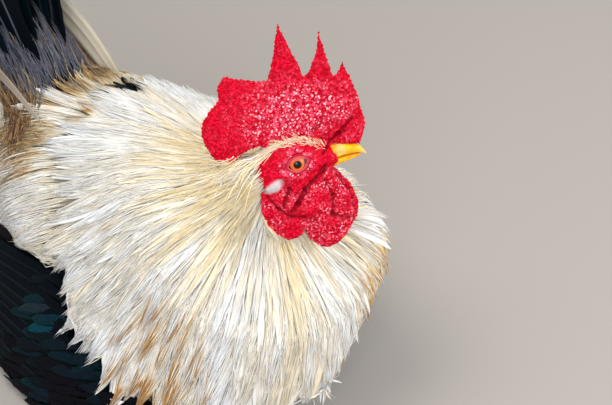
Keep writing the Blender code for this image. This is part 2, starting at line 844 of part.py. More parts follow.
def main():
    for old in list(bpy.data.objects):
        bpy.data.objects.remove(old)
    hackle = material("cream_hackle", (0.86, 0.78, 0.6), 0.6)
    saddle = material("straw_saddle", (0.8, 0.62, 0.33), 0.6)
    black = material("beetle_black", (0.012, 0.02, 0.022), 0.4)
    flight = material("wing_flights", (0.6, 0.54, 0.42), 0.5)
    flesh = material("red_skin", (0.68, 0.02, 0.03), 0.5)
    lobe = material("white_earlobe", (0.85, 0.8, 0.76), 0.55)
    horn = material("yellow_horn", (0.82, 0.5, 0.06), 0.35)
    eye = material("orange_eye", (0.8, 0.22, 0.02), 0.08)
    scale = material("yellow_scales", (0.75, 0.5, 0.12), 0.5)

    pieces = {
        "trunk": make_trunk(black),
        "saddle": make_saddle(saddle),
        "neck": make_neck(hackle),
    }
    pieces.update(make_wings(black, flight))
    pieces.update(make_head(flesh, horn, eye, lobe))
    pieces.update(make_tail(black, hackle))
    for name, sign in SIDES.items():
        pieces.update(make_leg(name, sign, black, scale, horn))
    fit_together(pieces)


main()
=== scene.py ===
"""Dresses the resting cock: one skin, its eyes, bill, claws and legs, and every feather of its coat.

Lengths are millimetres while a shape is being worked out, with x to the bird's left, y behind it and z
up, and become metres when its mesh is made.
"""

import sys

import logging
import math
from collections.abc import Callable, Sequence
from dataclasses import dataclass, field
from enum import Enum

import bmesh
import bpy
import numpy as np
from mathutils import Matrix, Vector, noise
from mathutils.bvhtree import BVHTree


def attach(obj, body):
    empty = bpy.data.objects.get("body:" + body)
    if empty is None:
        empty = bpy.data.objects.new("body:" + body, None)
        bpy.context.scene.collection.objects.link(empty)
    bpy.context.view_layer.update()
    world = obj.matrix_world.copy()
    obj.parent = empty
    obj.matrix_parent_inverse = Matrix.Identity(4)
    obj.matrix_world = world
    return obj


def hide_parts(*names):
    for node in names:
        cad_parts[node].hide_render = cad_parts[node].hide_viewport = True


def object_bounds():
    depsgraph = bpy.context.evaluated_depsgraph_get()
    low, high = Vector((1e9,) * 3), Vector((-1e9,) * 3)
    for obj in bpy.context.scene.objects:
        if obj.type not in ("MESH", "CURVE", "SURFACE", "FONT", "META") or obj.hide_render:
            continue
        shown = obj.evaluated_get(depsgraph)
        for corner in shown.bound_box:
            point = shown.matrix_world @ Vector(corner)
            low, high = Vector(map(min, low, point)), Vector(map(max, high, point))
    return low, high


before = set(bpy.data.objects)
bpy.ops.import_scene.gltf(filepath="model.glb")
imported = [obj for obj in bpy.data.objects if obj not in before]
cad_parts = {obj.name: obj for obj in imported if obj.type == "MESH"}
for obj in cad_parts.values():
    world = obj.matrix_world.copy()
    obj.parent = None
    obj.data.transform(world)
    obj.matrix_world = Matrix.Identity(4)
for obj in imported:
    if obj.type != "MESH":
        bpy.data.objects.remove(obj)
cad_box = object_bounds()

MM = 0.001
ROOT = "root"
BOX_LOW, BOX_HIGH = (np.array(corner) / MM for corner in cad_box)
STRAY = 4.0  # how far a feather may stand out of the solids' box
FLOOR_CLEAR = 0.4  # how far the coat and the skin stay above the floor
VANE_MARKS = ("tone", "gold", "grey", "shaft", "gloss")
log = logging.getLogger("cock")
Array = np.ndarray
Socket = bpy.types.NodeSocket
Colour = str | bpy.types.NodeSocket


# ------------------------------------------------------------
# Numbers and curves


def unit(vectors: Array) -> Array:
    """Each vector at length one."""
    return vectors / np.maximum(np.linalg.norm(vectors, axis=-1, keepdims=True), 1e-9)


def ramp(low: float, high: float, values: Array) -> Array:
    """A smooth step from 0 at low to 1 at high."""
    t = np.clip((np.asarray(values, float) - low) / (high - low), 0, 1)
    return t * t * (3 - 2 * t)


def hump(centre: float, reach: float, values: Array) -> Array:
    """A smooth bump that is 1 at centre and 0 beyond reach."""
    t = np.clip(1 - ((np.asarray(values, float) - centre) / reach) ** 2, 0, 1)
    return t * t


def resampled(keys: Array, at: Array) -> Array:
    """Points of a Catmull-Rom curve through the keys.

    Args:
        keys: the points that the curve passes through, one in each row.
        at: places along the curve, from 0 to 1.

    Returns:
        One row for each place.
    """
    keys = np.asarray(keys, float)
    padded = np.vstack([2 * keys[0] - keys[1], keys, 2 * keys[-1] - keys[-2]])
    place = np.clip(np.asarray(at, float), 0, 1) * (len(keys) - 1)
    k = np.minimum(place.astype(int), len(keys) - 2)
    t = (place - k)[:, None]
    a, b, c, d = (padded[k + i] for i in range(4))
    return 0.5 * (2 * b + (c - a) * t + (2 * a - 5 * b + 4 * c - d) * t**2 + (3 * b - a - 3 * c + d) * t**3)


def mottle(points: Array, size: float, seed: float = 0.0) -> Array:
    """Smooth noise from about -1 to 1, with lumps of the given size in millimetres, at each point."""
    shift = Vector((seed * 31.7, seed * 17.3, seed * 5.1))
    return np.array([noise.noise(Vector(p) / size + shift) for p in points]) * 1.6


def pebbles(points: Array, size: float) -> Array:
    """Rounded grains of the given size: 1 on top of each grain and 0 in the furrows between them."""
    near = np.array([noise.voronoi(Vector(p) / size)[0][0] for p in points])
    return np.clip(1 - (near / 0.62) ** 2, 0, 1)


def linear(colour: str) -> tuple[float, float, float, float]:
    """An sRGB hex colour as the linear RGBA that the shaders take."""
    parts = [int(colour[i : i + 2], 16) / 255 for i in (1, 3, 5)]
    return (*(c / 12.92 if c <= 0.04045 else ((c + 0.055) / 1.055) ** 2.4 for c in parts), 1.0)


# ------------------------------------------------------------
# Shapes and surfaces


@dataclass
class Shape:
    """A mesh as arrays: points in millimetres and faces of three or four corners."""

    points: Array
    faces: Array

    def normals(self) -> Array:
        """The way out of the surface.

        Returns:
            A unit normal at each point.
        """
        p, f = self.points, self.faces
        if f.shape[1] == 4:
            across = np.cross(p[f[:, 2]] - p[f[:, 0]], p[f[:, 3]] - p[f[:, 1]])
        else:
            across = np.cross(p[f[:, 1]] - p[f[:, 0]], p[f[:, 2]] - p[f[:, 0]])
        out = np.zeros_like(p)
        for corner in range(f.shape[1]):
            np.add.at(out, f[:, corner], across)
        return unit(out)

    def softened(self, rounds: int) -> "Shape":
        """The shape with its small bumps taken out.

        Args:
            rounds: how many times each point is drawn half way to the middle of its neighbours.

        Returns:
            The softer shape.
        """
        f = self.faces
        pairs = np.vstack([f[:, [i, (i + 1) % f.shape[1]]] for i in range(f.shape[1])])
        pairs = np.vstack([pairs, pairs[:, ::-1]])
        count = np.bincount(pairs[:, 0], minlength=len(self.points))[:, None]
        points = self.points.copy()
        for _ in range(rounds):
            totals = [np.bincount(pairs[:, 0], points[pairs[:, 1], axis], len(points)) for axis in range(3)]
            points += 0.5 * (np.stack(totals, 1) / np.maximum(count, 1) - points)
        return Shape(points, f)

    def swollen(self, distance: float | Array) -> "Shape":
        """The shape with its points moved along their normals by a distance in millimetres."""
        return Shape(self.points + self.normals() * np.reshape(distance, (-1, 1)), self.faces)

    def remeshed(self, voxel: float) -> "Shape":
        """One even skin of quads round all the closed bodies of the shape.

        Args:
            voxel: the size of its quads.

        Returns:
            The skin.
        """
        mesh = bpy.data.meshes.new("form")
        mesh.from_pydata(self.points.tolist(), [], [f.tolist() for f in self.faces])
        form = bpy.data.objects.new("form", mesh)
        bpy.context.scene.collection.objects.link(form)
        modifier = form.modifiers.new("voxels", "REMESH")
        modifier.mode = "VOXEL"
        modifier.voxel_size = voxel
        made = form.evaluated_get(bpy.context.evaluated_depsgraph_get()).to_mesh()
        points = np.empty(len(made.vertices) * 3, np.float32)
        made.vertices.foreach_get("co", points)
        faces = np.empty(len(made.loops), np.int32)
        made.loops.foreach_get("vertex_index", faces)
        bpy.data.objects.remove(form)
        bpy.data.meshes.remove(mesh)
        return Shape(points.reshape(-1, 3).astype(float), faces.reshape(-1, 4))

    def mesh(self, name: str, marks: dict[str, Array] | None = None) -> bpy.types.Mesh:
        """The shape as a mesh, with a number for each mark at each of its points."""
        sizes = np.full(len(self.faces), self.faces.shape[1])
        return mesh_of(name, self.points, self.faces.ravel(), sizes, marks)


def joined(shapes: Sequence[Shape]) -> Shape:
    """Several shapes as one.

    Args:
        shapes: the shapes. Their faces have as many corners each.

    Returns:
        The shape.
    """
    starts = np.cumsum([0] + [len(s.points) for s in shapes])
    faces = np.vstack([s.faces + start for s, start in zip(shapes, starts)])
    return Shape(np.vstack([s.points for s in shapes]), faces)


def nearest_shape(shapes: Sequence[Shape], points: Array) -> Array:
    """The number of the shape that lies nearest to each point.

    Args:
        shapes: shapes with the same kind of face.
        points: the points.

    Returns:
        A number for each point.
    """
    owner = np.repeat(np.arange(len(shapes)), [len(s.faces) for s in shapes])
    whole = joined(shapes)
    tree = BVHTree.FromPolygons(whole.points.tolist(), whole.faces.tolist())
    return owner[[tree.find_nearest(Vector(p))[2] for p in points]]


def ellipsoid(turned: Callable[[Array], Array], centre: Sequence[float], sizes: Sequence[float]) -> Shape:
    """A smooth egg of flesh.

    Args:
        turned: takes it from its own axes to the frame's.
        centre: its centre.
        sizes: its half sizes.

    Returns:
        The egg, in triangles.
    """
    egg = bmesh.new()
    bmesh.ops.create_icosphere(egg, subdivisions=3, radius=1.0)
    points = turned(np.array([v.co for v in egg.verts]) * sizes + centre)
    faces = np.array([[v.index for v in f.verts] for f in egg.faces])
    egg.free()
    return Shape(points, faces)


def whose(name: str) -> str:
    """A node's name without its side."""
    return name.removesuffix("_left").removesuffix("_right")


def node_shape(name: str) -> Shape:
    """A CAD node in millimetres, with the corners that its triangles share merged.

    Args:
        name: the node's name.

    Returns:
        Its shape, in triangles.
    """
    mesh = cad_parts[name].data
    mesh.calc_loop_triangles()
    points = np.empty(len(mesh.vertices) * 3)
    mesh.vertices.foreach_get("co", points)
    faces = np.empty(len(mesh.loop_triangles) * 3, np.int32)
    mesh.loop_triangles.foreach_get("vertices", faces)
    points, index = np.unique(np.round(points.reshape(-1, 3) / MM, 3), axis=0, return_inverse=True)
    faces = index.reshape(-1)[faces].reshape(-1, 3)
    kept = (faces[:, 0] != faces[:, 1]) & (faces[:, 1] != faces[:, 2]) & (faces[:, 0] != faces[:, 2])
    return Shape(points, faces[kept])


class Ground:
    """A surface that feathers are laid on."""

    def __init__(self, shape: Shape) -> None:
        """Prepares the surface for being asked where it is.

        Args:
            shape: the surface, with its faces outwards.
        """
        self.shape = shape
        self.tree = BVHTree.FromPolygons(shape.points.tolist(), shape.faces.tolist())
        self.face_normals = unit(shape.normals()[shape.faces].mean(1))

    def snap(self, points: Array) -> tuple[Array, Array]:
        """The nearest places on the surface and the normals there."""
        found = [self.tree.find_nearest(Vector(p)) for p in points]
        return np.array([f[0] for f in found]), self.face_normals[[f[2] for f in found]]

    def struck(self, points: Array, outward: Array, away: float = 90.0) -> Array:
        """Where each point lands when it comes straight in from outside, or the nearest place if it misses.

        Args:
            points: the points.
            outward: the way out from each point, at length one.
            away: how far out each one starts.

        Returns:
            A place on the surface for each point.
        """
        landed = self.snap(points)[0]
        for n, (point, out) in enumerate(zip(points, outward)):
            hit = self.tree.ray_cast(Vector(point + away * out), Vector(-out), 2 * away)[0]
            if hit is not None:
                landed[n] = hit
        return landed

    def depth(self, points: Array) -> Array:
        """How far each point is from the surface."""
        return np.array([self.tree.find_nearest(Vector(p))[3] for p in points])


# ------------------------------------------------------------
# The head's own axes


@dataclass(frozen=True)
class HeadPose:
    """How the head is held: turned to its left, lifted and leaned over, round its centre."""

    turn: float = 52.0
    lift: float = 8.0
    lean: float = 20.0
    centre: tuple[float, float, float] = (10.2, -86.3, 224.4)

    def axes(self) -> Array:
        """The head's own axes.

        Returns:
            Columns that point along the bill, up through the comb and out of the right eye.
        """
        turn, lift, lean = (math.radians(a) for a in (self.turn, self.lift, self.lean))
        along = Vector((math.sin(turn) * math.cos(lift), -math.cos(turn) * math.cos(lift), math.sin(lift)))
        right = along.cross(Vector((0, 0, 1))).normalized()
        above = right.cross(along)
        leaned = above * math.cos(lean) - right * math.sin(lean)
        outward = right * math.cos(lean) + above * math.sin(lean)
        return np.array((along, leaned, outward)).T

    def to_world(self, points: Array) -> Array:
        """Points given as (along, above, right), in the frame's axes."""
        return np.asarray(points, float) @ self.axes().T + np.array(self.centre)

    def to_head(self, points: Array) -> Array:
        """Points in the frame's axes, as (along, above, right)."""
        return (np.asarray(points, float) - np.array(self.centre)) @ self.axes()


HEAD = HeadPose()


# ------------------------------------------------------------
# Finishes


class Recipe:
    """A material's node tree while it is being put together."""

    def __init__(self, name: str) -> None:
        """Starts the material.

        Args:
            name: the material's name.
        """
        self.material = bpy.data.materials.new(name)
        self.material.use_nodes = True
        self.tree = self.material.node_tree

    def _put(self, socket: Socket, value: object) -> None:
        """Links an output to an input, or gives the input a constant.

        Args:
            socket: the input.
            value: the output or the constant.
        """
        if isinstance(value, Socket):
            self.tree.links.new(value, socket)
        else:
            socket.default_value = value

    def add(self, kind: str, inputs: dict, output: int | str = 0, **settings: object) -> Socket:
        """Adds a node with its settings and links.

        Args:
            kind: the node's type, without its ShaderNode prefix.
            inputs: a constant or an output to link, for each input's name or number.
            output: the name or number of the output that is wanted.
            settings: the node's own properties.

        Returns:
            The node's output.
        """
        node = self.tree.nodes.new("ShaderNode" + kind)
        for name, value in settings.items():
            setattr(node, name, value)
        for key, value in inputs.items():
            self._put(node.inputs[key], value)
        return node.outputs[output]

    def share(self, value: Socket, none: float, full: float, most: float = 1.0,
              within: Socket | None = None) -> Socket:
        """How much of a colour shows at each place.

        Args:
            value: the mark or pattern that it follows.
            none: the value where none of it shows.
            full: the value where the most of it shows.
            most: the most that shows.
            within: another share that it is a share of.

        Returns:
            The share.
        """
        inputs = {0: value, 1: none, 2: full, 3: 0.0, 4: most}
        grown = self.add("MapRange", inputs, interpolation_type="SMOOTHSTEP")
        return grown if within is None else self.add("Math", {0: grown, 1: within}, operation="MULTIPLY")

    def lay(self, under: Colour, over: Colour, value: Socket, none: float, full: float, most: float = 1.0,
            within: Socket | None = None) -> Socket:
        """Lays one colour over another.

        Args:
            under: the colour below, as sRGB hex or an output.
            over: the colour laid over it.
            value: the mark or pattern that it follows.
            none: the value where none of it shows.
            full: the value where the most of it shows.
            most: the most that shows.
            within: another share that it is a share of.

        Returns:
            The colour.
        """
        return self.mixed(under, over, self.share(value, none, full, most, within))

    def mixed(self, under: Colour, over: Colour, share: Socket) -> Socket:
        """One colour, given as sRGB hex or an output, laid over another by a share of 0 to 1."""
        pair = [linear(c) if isinstance(c, str) else c for c in (under, over)]
        return self.add("Mix", {0: share, 6: pair[0], 7: pair[1]}, 2, data_type="RGBA")

    def woven(self, first: Socket, second: Socket, part: float) -> Socket:
        """Adds up two patterns.

        Args:
            first: one pattern.
            second: the other.
            part: how much of the first one counts, from 0 to 1. The second counts for the rest.

        Returns:
            The pattern.
        """
        pair = [self.add("Math", {0: value, 1: by}, operation="MULTIPLY")
                for value, by in ((first, part), (second, 1 - part))]
        return self.add("Math", {0: pair[0], 1: pair[1]}, operation="ADD")

    def done(self, colour: Colour, relief: Socket | None = None, strength: float = 0.2, depth: float = 0.2,
             **constants: float | tuple) -> bpy.types.Material:
        """Ends the material with its colour, its relief and the shader's constants.

        Args:
            colour: its colour, as sRGB hex or an output.
            relief: the pattern that its bump follows.
            strength: how strong the bump is.
            depth: how deep it is, in millimetres.
            constants: the shader's other inputs, with _ for each space in a name.

        Returns:
            The material.
        """
        inputs = {"Base Color": linear(colour) if isinstance(colour, str) else colour}
        if relief is not None:
            bump = {"Height": relief, "Strength": strength, "Distance": depth * MM}
            inputs["Normal"] = self.add("Bump", bump)
        inputs.update({key.replace("_", " "): value for key, value in constants.items()})
        for key, value in inputs.items():
            self._put(self.tree.nodes["Principled BSDF"].inputs[key], value)
        return self.material


@dataclass(frozen=True)
class PlumeFinish:
    """Keratin barbs as they grow: silky, with a fine grain along the vane and a darker shaft, and a painted
    sheen where sheen colours are given.
    """

    name: str
    base: str
    pale: str
    streak: str
    shaft: str
    root: str
    gold: str
    amber: str = "#EBC06C"
    # sheen_far and sheen_near: the colours of the painted sheen, seen edge-on and face-on.
    sheen_far: str | None = None
    sheen_near: str | None = None
    streak_width: float = 0.9
    streak_length: float = 26.0
    streak_most: float = 0.75
    shaft_width: float = 0.1
    shaft_most: float = 0.6
    roughness: float = 0.55
    sheen: float = 0.15
    specular: float = 0.35
    bump: float = 0.25

    def made(self) -> bpy.types.Material:
        """The material, which follows each vane's own UV map and marks.

        Returns:
            The material.
        """
        r = Recipe(self.name)
        vane = r.add("UVMap", {}, uv_map="Vane")
        reach, across, tone, gilt, grey, shaft, gloss = (
            r.add("Attribute", {}, "Fac", attribute_name=mark) for mark in ("reach", "across", *VANE_MARKS))
        grain = r.add("Mapping", {0: vane, 3: (1 / self.streak_width, 1 / self.streak_length, 1)})
        streaks = r.add("TexNoise", {"Vector": grain, "Scale": 1.0, "Detail": 3.0, "Roughness": 0.6})
        fine = r.add("Mapping", {0: vane, 3: (2.4 / self.streak_width, 3.5 / self.streak_length, 1)})
        barbs = r.add("TexNoise", {"Vector": fine, "Scale": 1.0, "Detail": 2.0})
        colour = r.mixed(self.base, self.pale, tone)
        colour = r.lay(colour, self.amber, gilt, 0.0, 0.5, 0.9)
        colour = r.lay(colour, self.gold, gilt, 0.25, 0.75, within=r.share(barbs, 0.32, 0.52))
        colour = r.lay(colour, self.streak, streaks, 0.42, 0.66, self.streak_most, grey)
        colour = r.lay(colour, self.streak, barbs, 0.4, 0.8, 0.12)
        off_shaft = r.add("Math", {0: across}, operation="ABSOLUTE")
        colour = r.lay(colour, self.shaft, off_shaft, 1.6 * self.shaft_width, 0.5 * self.shaft_width,
                       self.shaft_most, shaft)
        colour = r.lay(colour, self.root, reach, 0.45, 0.0)
        # Painted sheen: the feathers' green and blue gloss laid into the colour, changing with the angle of
        # view, as much as the gloss mark asks and less where the feathers are gold.
        if self.sheen_far and self.sheen_near:
            edge = r.add("LayerWeight", {"Blend": 0.45}, "Facing")
            painted_sheen = r.mixed(self.sheen_near, self.sheen_far, edge)
            colour = r.lay(colour, painted_sheen, barbs, 0.2, 0.7, within=r.share(gilt, 0.4, 0.0, within=gloss))
        return r.done(colour, r.woven(streaks, barbs, 0.6), self.bump, 0.4, Roughness=self.roughness,
                      Specular_IOR_Level=self.specular, Sheen_Weight=self.sheen, Sheen_Roughness=0.5)


# ------------------------------------------------------------
# Feathers


@dataclass(frozen=True)
class Cut:
    """A feather's cross-section and outline, as shares of its half width and its length."""

    across: tuple[float, ...]
    rise: tuple[float, ...]
    reach: tuple[float, ...]
    width: tuple[float, ...]

    def faces(self) -> tuple[Array, Array]:
        """One feather's faces.

        Returns:
            The corners of the faces in turn, and how many each face has.
        """
        ring, rows = len(self.across), len(self.reach)
        corners, sizes = [list(range(ring))[::-1]], [ring]
        for row in range(rows - 1):
            for k in range(ring):
                a, b = row * ring + k, row * ring + (k + 1) % ring
                corners.append([a, b, b + ring, a + ring])
                sizes.append(4)
        corners.append([(rows - 1) * ring + k for k in range(ring)])
        sizes.append(ring)
        return np.concatenate(corners), np.array(sizes)


class Cuts(Enum):
    """The outlines of the coat's feathers."""

    SPEAR = Cut((-1, -0.5, 0, 0.5, 1, 0), (-0.5, 0.5, 1, 0.5, -0.5, -0.6),
                (0, 0.12, 0.3, 0.5, 0.68, 0.83, 0.93, 1), (0.3, 0.7, 1, 0.97, 0.8, 0.52, 0.27, 0.03))
    WISP = Cut((-1, 0, 1), (-0.3, 0.8, -0.3), (0, 0.25, 0.52, 0.8, 1), (0.5, 1, 0.95, 0.6, 0.05))
    SCALE = Cut((-1, -0.5, 0, 0.5, 1, 0), (-0.9, 0.3, 0.8, 0.3, -0.9, -0.6),
                (0, 0.2, 0.45, 0.66, 0.82, 0.93, 1), (0.3, 0.75, 1, 1.02, 0.86, 0.58, 0.16))
    BLADE = Cut((-1, -0.5, 0, 0.5, 1, 0), (-0.6, 0.4, 1, 0.4, -0.6, -0.6),
                (0, 0.12, 0.32, 0.55, 0.75, 0.88, 0.96, 1), (0.3, 0.75, 1, 1.0, 0.95, 0.78, 0.48, 0.1))


def great_cut(rows: int, outline: Callable[[float], float]) -> Cut:
    """The cut of one of the great feathers, with a round shaft between two broad webs.

    Args:
        rows: how many stations it has.
        outline: its half width at each share of its length, as a share of the most.

    Returns:
        The cut.
    """
    reach = tuple(i / (rows - 1) for i in range(rows))
    across = (-1, -0.8, -0.5, -0.2, -0.05, 0, 0.05, 0.2, 0.5, 0.8, 1, 0.5, 0.06, 0, -0.06, -0.5)
    rise = (0, 0.5, 0.5, 0.5, 1.3, 2.0, 1.3, 0.5, 0.5, 0.5, 0, -0.5, -0.6, -1.6, -0.6, -0.5)
    return Cut(across, rise, reach, tuple(outline(v) for v in reach))


@dataclass
class Batch:
    """Feathers of one cut, each with its line, its size and its markings."""

    cut: Cut
    lines: Array
    up: Array
    half_width: Array
    thickness: Array
    marks: dict[str, Array]
    roll: Array | None = None
    ragged: float = 0.0
    camber: float = 0.0
    seed: int = 0


def on_unwrap(points: Array, core: float = 90.0, margin: float = 0.02) -> Array:
    """Where each point lies on the body's skin laid out flat: round the body, and along it.

    Args:
        points: the points.
        core: the height of the line that the skin is unrolled from.
        margin: how much of the map stays free at its edges.

    Returns:
        A place on the map for each point.
    """
    turn = np.arctan2(points[:, 0], points[:, 2] - core) / (2 * math.pi) + 0.5
    back = (points[:, 1] - BOX_LOW[1]) / (BOX_HIGH[1] - BOX_LOW[1])
    return margin + (1 - 2 * margin) * np.stack([turn, np.clip(back, 0, 1)], 1)


@dataclass
class Plumage:
    """One piece of the coat: many feathers in one mesh."""

    name: str
    batches: list[Batch]
    patch: float = 0.003

    def made(self, finish: bpy.types.Material, slot: str, replaces: Sequence[str] = ()) -> None:
        """Builds the piece.

        Args:
            finish: its material.
            slot: not used.
            replaces: the CAD nodes that it stands for.
        """
        points, corners, sizes, vanes, bakes = [], [], [], [], []
        marks: dict[str, list[Array]] = {key: [] for key in ("reach", "across", *VANE_MARKS)}
        start = 0
        for batch in self.batches:
            cut = batch.cut
            count, ring, rows = len(batch.lines), len(cut.across), len(cut.reach)
            rng = np.random.default_rng(batch.seed + 11)
            across, at = np.array(cut.across), np.array(cut.reach)
            line = np.stack([self._along(batch.lines, v) for v in at], 1)
            body, x = self._shaped(batch, line, rng)
            points.append(body.reshape(-1, 3))
            one, one_sizes = cut.faces()
            corners.append((one[None, :] + start + ring * rows * np.arange(count)[:, None]).reshape(-1))
            sizes.append(np.tile(one_sizes, count))
            start += ring * rows * count
            length = np.linalg.norm(np.diff(line, axis=1), axis=2).sum(1)
            offset = rng.random((count, 2)) * 900  # so that no two vanes have the same streaks
            run = np.broadcast_to((at[None, :] * length[:, None])[:, :, None], x.shape)
            vane = np.stack([x, run], -1) + offset[:, None, None, :]
            vanes.append(vane.reshape(-1, 2))
            patch = np.stack(np.broadcast_arrays(across / 2, at[:, None] - 0.5, x)[:2], -1)
            place = on_unwrap(batch.lines[:, 0])
            bakes.append((place[:, None, None, :] + patch * self.patch).reshape(-1, 2))
            marks["reach"].append(np.broadcast_to(at[:, None], x.shape).reshape(-1))
            marks["across"].append(np.broadcast_to(across, x.shape).reshape(-1))
            for key in VANE_MARKS:
                value = np.asarray(batch.marks.get(key, np.zeros(count)), float)
                if value.ndim == 1:
                    value = value[:, None]
                else:
                    value = np.stack([self._along(value[..., None], v)[:, 0] for v in at], 1)
                marks[key].append(np.broadcast_to(value[:, :, None], x.shape).reshape(-1))
        corners = np.concatenate(corners)
        mesh = mesh_of(self.name, np.vstack(points), corners, np.concatenate(sizes),
                       {key: np.concatenate(values) for key, values in marks.items()})
        for label, places in (("Vane", vanes), ("OFBake", bakes)):
            layer = mesh.uv_layers.new(name=label)
            layer.data.foreach_set("uv", np.vstack(places)[corners].astype(np.float32).ravel())
        placed(mesh, finish, replaces)

    def _shaped(self, batch: Batch, line: Array, rng: np.random.Generator) -> tuple[Array, Array]:
        """Lays each feather's cross-sections along its midrib.

        Args:
            batch: the feathers.
            line: their midribs at the stations of their cut.
            rng: the random numbers that fray their edges.

        Returns:
            The points as feathers by stations by corners, and how far each is from its midrib.
        """
        cut = batch.cut
        across, rise, at, outline = (np.array(part) for part in (cut.across, cut.rise, cut.reach, cut.width))
        up = unit(np.stack([self._along(batch.up, v) for v in at], 1))
        ahead = unit(np.gradient(line, axis=1))
        side = unit(np.cross(ahead, up))
        up = np.cross(side, ahead)
        if batch.roll is not None:
            c, s = np.cos(batch.roll)[:, None, None], np.sin(batch.roll)[:, None, None]
            side, up = side * c + up * s, up * c - side * s
        width = outline[None, :] * batch.half_width[:, None]
        frayed = (np.abs(across) > 0.9) * (at > 0.3)[:, None]
        fray = 1 - batch.ragged * rng.random((len(line), len(at), len(across))) * frayed
        x = across[None, None, :] * width[:, :, None] * fray
        thin = np.clip(outline, 0.15, 1)[None, :, None]
        z = rise[None, None, :] * batch.thickness[:, None, None] * thin
        z = z - batch.camber * across**2 * width[:, :, None]
        body = line[:, :, None, :] + side[:, :, None, :] * x[..., None] + up[:, :, None, :] * z[..., None]
        body[..., 2] = np.maximum(body[..., 2], FLOOR_CLEAR)
        return body, x

    @staticmethod
    def _along(rows: Array, share: float) -> Array:
        """Reads a value part of the way along each feather.

        Args:
            rows: a row of values for each feather, from root to tip.
            share: the share of the way.

        Returns:
            A value for each feather.
        """
        place = share * (rows.shape[1] - 1)
        k = min(int(place), rows.shape[1] - 2)
        return rows[:, k] * (k + 1 - place) + rows[:, k + 1] * (place - k)


def mesh_of(name: str, points: Array, corners: Array, sizes: Array,
            marks: dict[str, Array] | None = None) -> bpy.types.Mesh:
    """A smooth mesh in metres from points in millimetres.

    Args:
        name: the mesh's name.
        points: its points.
        corners: the corners of every face in turn.
        sizes: how many corners each face has.
        marks: numbers that its material reads, one for each point.

    Returns:
        The mesh.
    """
    mesh = bpy.data.meshes.new(name)
    mesh.vertices.add(len(points))
    mesh.vertices.foreach_set("co", (points * MM).astype(np.float32).ravel())
    mesh.loops.add(len(corners))
    mesh.loops.foreach_set("vertex_index", corners.astype(np.int32))
    mesh.polygons.add(len(sizes))
    mesh.polygons.foreach_set("loop_start", np.concatenate([[0], np.cumsum(sizes)[:-1]]).astype(np.int32))
    mesh.update(calc_edges=True)
    mesh.polygons.foreach_set("use_smooth", np.ones(len(sizes), bool))
    for key, values in (marks or {}).items():
        mesh.attributes.new(key, "FLOAT", "POINT").data.foreach_set("value", values.astype(np.float32))
    return mesh


def placed(mesh: bpy.types.Mesh, finish: bpy.types.Material,
           replaces: Sequence[str] = ()) -> None:
    """Puts a finished mesh in the scene as a piece of the cock.

    Args:
        mesh: the mesh, in metres.
        finish: its material.
        replaces: the CAD nodes that it stands for.
    """
    piece = bpy.data.objects.new(mesh.name, mesh)
    bpy.context.scene.collection.objects.link(piece)
    piece.data.materials.append(finish)
    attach(piece, ROOT)
    if replaces:
        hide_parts(*replaces)
    mesh.calc_loop_triangles()
    log.info("%s: %d triangles", piece.name, len(mesh.loop_triangles))


Flow = Callable[[Array, Array], Array]


def grown(ground: Ground, roots: Array, flow: Flow, length: Array, stray: Array, steps: int = 9,
          stiff: float = 0.35) -> tuple[Array, Array]:
    """Lets feathers run over the ground from their roots.

    Args:
        ground: the surface.
        roots: where they start.
        flow: gives the way the coat lies, from places and normals.
        length: each feather's length.
        stray: how far each line strays from the flow, in radians.
        steps: how many points each line has.
        stiff: the most that a line may leave its own direction in one step, as a share of the step.

    Returns:
        The lines, and the normals along them.
    """
    at, normal = ground.snap(roots)
    stride = (length / (steps - 1))[:, None]
    lines, ups = [at], [normal]
    before = None
    for _ in range(steps - 1):
        way = unit(flow(at, normal))
        way = way - normal * (way * normal).sum(1, keepdims=True)
        way = way + np.cross(normal, way) * np.tan(stray)[:, None]
        way = unit(way if before is None else way + before)
        ahead = at + way * stride
        snapped, facing = ground.snap(ahead)
        pull = snapped - ahead
        size = np.linalg.norm(pull, axis=1, keepdims=True)
        agree = ramp(-0.1, 0.4, (facing * normal).sum(1, keepdims=True))
        pull *= np.minimum(1, stiff * stride / np.maximum(size, 1e-9)) * agree
        close = (size < 2.5 * stiff * stride) & (agree > 0.5)
        normal = unit(normal * 0.4 + np.where(close, facing, normal) * 0.6)
        moved = ahead + pull
        before = unit(moved - at)
        at = moved
        lines.append(at)
        ups.append(normal)
    return np.stack(lines, 1), np.stack(ups, 1)


def raised(lines: Array, ups: Array, root: float | Array, tip: float | Array, curve: float = 0.7) -> Array:
    """The lines lifted off the ground.

    Args:
        lines: the lines, feathers by steps by 3.
        ups: the normals along them.
        root: how high their roots lie.
        tip: how high their tips lie.
        curve: below 1, they rise more near the root.

    Returns:
        The lifted lines.
    """
    share = np.linspace(0, 1, lines.shape[1])[None, :, None] ** curve
    low, high = np.reshape(root, (-1, 1, 1)), np.reshape(tip, (-1, 1, 1))
    return lines + ups * (low * (1 - share) + high * share)


